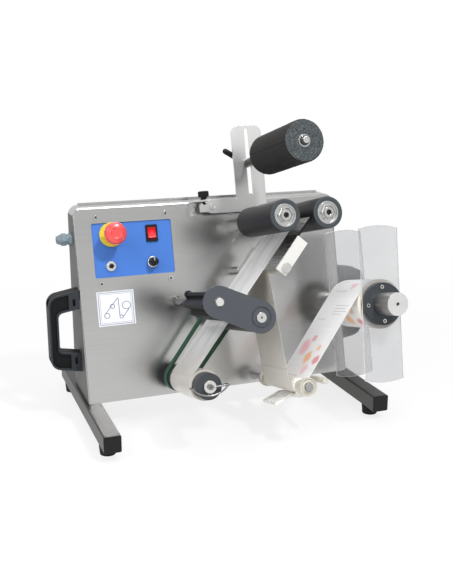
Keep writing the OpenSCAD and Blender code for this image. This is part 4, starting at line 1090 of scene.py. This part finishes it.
# Blots of colour on the long label: place across, place along and radius in mm, strength and colour
blots = [
    (30, 106, 22, 0.60, print_pink), (62, 126, 17, 0.75, print_orange), (47, 88, 10, 0.55, print_rose),
    (84, 104, 9, 0.60, print_orange), (76, 150, 14, 0.50, print_pink), (98, 128, 13, 0.75, print_rose),
]
# Grey rules: place along, and their two ends across, in mm
rules = [(16, 56, 102), (22, 56, 96), (28, 56, 104), (34, 56, 90), (46, 14, 44), (164, 20, 64)]
rule_half, rule_soft = 0.5 * mm, 0.3 * mm


def uv_marks(place):
    """The piece's own UV map as two values: across, and along in metres."""
    return parts(place.node("UVMap", {"uv_map": "UVMap"}))[:2]


def line_mask(distance, half, soft):
    """1 where a distance is under half a line's width, fading to 0 over a soft rim."""
    return 1 - step(abs(distance), half, half + soft)


def band_mask(value, low, high, soft):
    """1 between low and high: it rises just above low and falls just above high, over a soft rim."""
    return step(value, low, low + soft) * (1 - step(value, high, high + soft))


def label_edges(turn):
    """1 in the gaps before the two labels, by the place along their common pitch."""
    first = 1 - step(turn, label_gap, label_gap + edge_soft)
    return first + band_mask(turn, short_label - edge_soft, short_label + label_gap, edge_soft)


def label_print(across, turn):
    """Printed white labels: soft blots whose rims wander with a noise, and thin rules."""
    side = across * web_wide
    wander = blot_wander * (noise(side.node("CombineXYZ", {}, {0: side, 1: turn}), 80.0) - 0.5)
    paper = mix(step(wander, -blot_wander / 2, blot_wander / 2), srgb(244, 245, 246), srgb(250, 250, 251))
    for x, y, radius, strength, colour in blots:
        far = away_from(side, turn, (x * mm, y * mm)) + wander
        paper = mix(strength * (1 - step(far, 0.4 * radius * mm, radius * mm)), paper, colour)
    for y, first, last in rules:
        line = line_mask(turn - y * mm, rule_half, rule_soft)
        inside = band_mask(side, first * mm, last * mm, rule_soft)
        paper = mix(0.5 * line * inside, paper, srgb(140, 140, 142))
    return paper


@finish
def strip_paper(place):
    """Backing paper, glossy on the face that held the labels and dull on the other; labels lie on the face up
    to the blade, and their edges show through on the back as faint lines. The bare face has painted sheen."""
    across, along = uv_marks(place)
    face = 1 - step(across, 1.2, 1.4)
    before = 1 - step(along, tip_len - 1 * mm, tip_len)
    turn = (along - label_shift) % label_pitch
    edge = label_edges(turn)
    label = face * before * (1 - edge) * band_mask(across, edge_share, 1 - edge_share, 0.01)
    fibre = noise(place, 420.0)
    back = mix(0.5 * fibre + 0.5 * noise(place, 14.0), srgb(212, 207, 199), srgb(226, 222, 215))
    # Painted sheen: lighter lengthwise streaks on the bare backing
    painted_sheen = noise(across.node("CombineXYZ", {}, {0: across * 7.0, 1: along * 9.0}), 1.0)
    bare = mix(step(painted_sheen, 0.3, 0.7), srgb(226, 226, 225), srgb(250, 250, 250))
    bare = mix(step(along, tail_start, tail_end), mix(before, bare, srgb(250, 250, 250)), liner_tone)
    ground = mix(0.3 * edge * (1 - face), mix(face, back, bare), srgb(170, 164, 156))
    return {
        "Base Color": mix(label, ground, label_print(across, turn)),
        "Roughness": 0.46 - 0.26 * face * (1 - before) + 0.06 * fibre,
        "Coat Weight": 0.35 * face * (1 - before),
        "Bump": (label + 0.15 * fibre, 0.02 * mm),
    }


stand_for(strip, strip_paper, "label_web")

# Wound liner and label roll
# Thin paper in many turns: the rewind's is bare backing, the roll's has its labels outside, and the ends show
# fine rings of paper edges.
rings_per_metre = 5000.0
end_soft = 1 * mm
lap_at, lap_half = 0.36, 0.004
roll_r, roll_low, roll_high = reach_of("label_roll", roll_axis)
roll_thick = roll_r - bore_of("label_roll", roll_axis)


# Both outer turns are asked with the place, the way round, the way along the section, and 1 on the ends
def bare_turn(place, around, along, ends):
    """The outer turn of bare backing, a little loose: its colour, and one overlap line as its relief."""
    lap = line_mask(around - lap_at, lap_half, lap_half)
    paper = mix(noise(place, 16.0), srgb(196, 192, 185), srgb(212, 209, 203))
    return mix(0.6 * lap, paper, srgb(150, 143, 134)), lap


def printed_turn(place, around, along, ends):
    """The outer turn of printed labels: its colour, and the labels as its relief."""
    turn = (around * (2 * math.pi * roll_r) + roll_shift) % label_pitch
    edge = label_edges(turn)
    paper = label_print((along - roll_thick) / (roll_high - roll_low), turn)
    return mix(edge, paper, srgb(214, 210, 202)), (1 - ends) * (1 - edge)


def wound(name, axis, node, outer_turn, end_tones, rough, depth):
    """A tube in place of a wound node, whose ends show the paper's edges as rings. Its UV map runs round it,
    and along its section from the inner back edge. Its roughness is the outside's and the ends' rise."""
    radius, low, high = reach_of(node, axis)
    thick = radius - bore_of(node, axis)
    wide = high - low

    def recipe(place):
        around, along = uv_marks(place)
        front = band_mask(along, thick + wide - end_soft, 2 * thick + wide, end_soft)
        ends = front + (1 - step(along, thick - end_soft, thick))
        ring = noise(along * rings_per_metre, 1.0)
        paper, relief = outer_turn(place, around, along, ends)
        return {
            "Base Color": mix(ends, paper, mix(ring, *end_tones)),
            "Roughness": rough[0] + rough[1] * ends,
            "Bump": (relief + ends * ring, depth),
        }
    sleeve(name, axis, node, finish(recipe, name + "_paper"), edge=0.3 * mm, turns=128)


liner_ends = (srgb(176, 170, 160), srgb(224, 219, 210))
roll_ends = (srgb(222, 212, 192), srgb(244, 238, 224))
wound("wound_liner", rewind_axis, "rewind_liner", bare_turn, liner_ends, (0.24, 0.3), 0.15 * mm)
wound("printed_roll", roll_axis, "label_roll", printed_turn, roll_ends, (0.38, 0.2), 0.12 * mm)

# Clear side plates
# Two strips of clear acrylic sheet with sawn edges and round ends keep the roll's turns in line.
plate_places = node_places("roll_plates")
plate_split = (plate_places[:, 2].min() + plate_places[:, 2].max()) / 2
bar_r = spread(plate_places, roll_axis).min()
plate_round = 0.5 * mm
arc_points = 33
side_points = 49
# The UV map's along is 0 to 1 on the back, 1 to 2 on the edge and 2 to 3 on the front
plate_marks = np.array([0, 0.97, 1.03, 1.97, 2.03, 3, 3.5])


@finish
def clear_acrylic(place):
    """Clear acrylic with a faint haze and fine scratches; its edges are sawn and look pale."""
    edge = band_mask(uv_marks(place)[1], 0.98, 2.0, 0.02)
    scratch = step(streaks(place, (900, 14, 14), 3.0), 0.62, 0.72)
    return {
        "Base Color": mix(edge, srgb(172, 173, 176), srgb(250, 250, 250)),
        "Roughness": 0.10 + 0.12 * scratch + 0.3 * edge,
        "Alpha": 0.26 + 0.12 * noise(place, 9.0) + 0.06 * scratch + 0.55 * edge,
        "Bump": (scratch, 0.01 * mm),
    }


def clear_plate(name, places):
    """A plate between two radii at every angle a from its long axis: the bar's radius inside, and outside the
    lesser of the end arc's radius and half the width over |sin a|."""
    flat = places[:, :2] - roll_axis
    length_r = spread(places, roll_axis).max()
    tips = flat[spread(places, roll_axis) > 0.99 * length_r]
    lean = math.atan2(*np.linalg.svd(tips - tips.mean(axis=0))[2][0][::-1])
    half_wide = np.abs(flat @ (-math.sin(lean), math.cos(lean))).max()
    corner = math.asin(half_wide / length_r)
    end_arc = np.linspace(-corner, corner, arc_points)
    long_side = np.linspace(corner, math.pi - corner, side_points)[1:-1]
    half = np.concatenate([end_arc, long_side])
    angle = np.concatenate([half, half + math.pi])
    outer = np.minimum(length_r, half_wide / np.maximum(np.abs(np.sin(angle)), tiny))
    share = np.array([0, 1, 1, 1, 1, 0])[:, None]
    inset = np.array([0, 1, 0, 0, 1, 0])[:, None] * plate_round
    rise = np.array([0, 0, 1, -1, 0, 0])[:, None] * plate_round
    level = np.repeat([places[:, 2].min(), places[:, 2].max()], 3)[:, None]
    grid = about(roll_axis, bar_r + (outer - bar_r) * share - inset, angle + lean, level + rise)
    return surface(name, grid, True, row_mark=plate_marks, column_mark=np.linspace(0, 1, len(angle) + 1))


front_plate = clear_plate("front_clear_plate", plate_places[plate_places[:, 2] > plate_split])
stand_for(front_plate, clear_acrylic, "roll_plates")
rear_plate = clear_plate("rear_clear_plate", plate_places[plate_places[:, 2] < plate_split])
go_with(rear_plate, clear_acrylic, "roll_plates")

# Threading sticker
# A white paper sticker on the panel with a double border and a plain drawing of how the strip is threaded.
sticker_low = np.array([-227.0, 135.9]) * mm
sticker_size = np.array([67.8, 62.0]) * mm
sticker_levels = np.array([0.02, 0.2]) * mm
sticker = slab("threading_sticker", sticker_low, sticker_low + sticker_size, sticker_levels)
ink = srgb(96, 112, 150)
# The drawing in shares of the sticker: the borders' inset, half width and strength, the rollers' middle and
# radius, and the ends of the strip's runs
borders = (0.04, 0.010, 0.7), (0.085, 0.006, 0.5)
rollers = ((0.24, 0.30), 0.07), ((0.40, 0.56), 0.06), ((0.62, 0.24), 0.045), ((0.78, 0.56), 0.11)
runs = ((0.19, 0.35), (0.56, 0.80)), ((0.57, 0.79), (0.58, 0.25)), ((0.66, 0.22), (0.86, 0.48))
line_half, line_soft, border_soft, run_soft = 0.006, 0.008, 0.006, 0.01


@finish
def sticker_paper(place):
    """White paper with thin ink lines: two borders, four rollers as rings and the strip as straight runs."""
    across, up = panel_shade(place)[:2]
    x = (across - sticker_low[0]) / sticker_size[0]
    y = (up - sticker_low[1]) / sticker_size[1]

    def border(inset, half):
        side = 0.5 - inset - abs(x - 0.5)
        rise = 0.5 - inset - abs(y - 0.5)
        return line_mask(x.math("MINIMUM", side, rise), half, border_soft)

    def ring(centre, radius):
        return line_mask(away_from(x, y, centre) - radius, line_half, line_soft)

    def run(first, last):
        way = np.array(last) - np.array(first)
        length = np.linalg.norm(way)
        way = way / length
        side = (x - first[0]) * -way[1] + (y - first[1]) * way[0]
        far = (x - first[0]) * way[0] + (y - first[1]) * way[1]
        return band_mask(far, 0.0, length - run_soft, run_soft) * line_mask(side, line_half, line_soft)

    lines = [strength * border(inset, half) for inset, half, strength in borders]
    lines += [ring(centre, radius) for centre, radius in rollers]
    lines += [run(first, last) for first, last in runs]
    drawn = x.math("MINIMUM", sum(lines), 1.0)
    fibre = noise(place, 300.0)
    return {
        "Base Color": mix(drawn, mix(fibre, srgb(228, 229, 231), srgb(240, 241, 242)), ink),
        "Roughness": 0.42 + 0.1 * fibre,
    }


wear(sticker, sticker_paper, "machine")
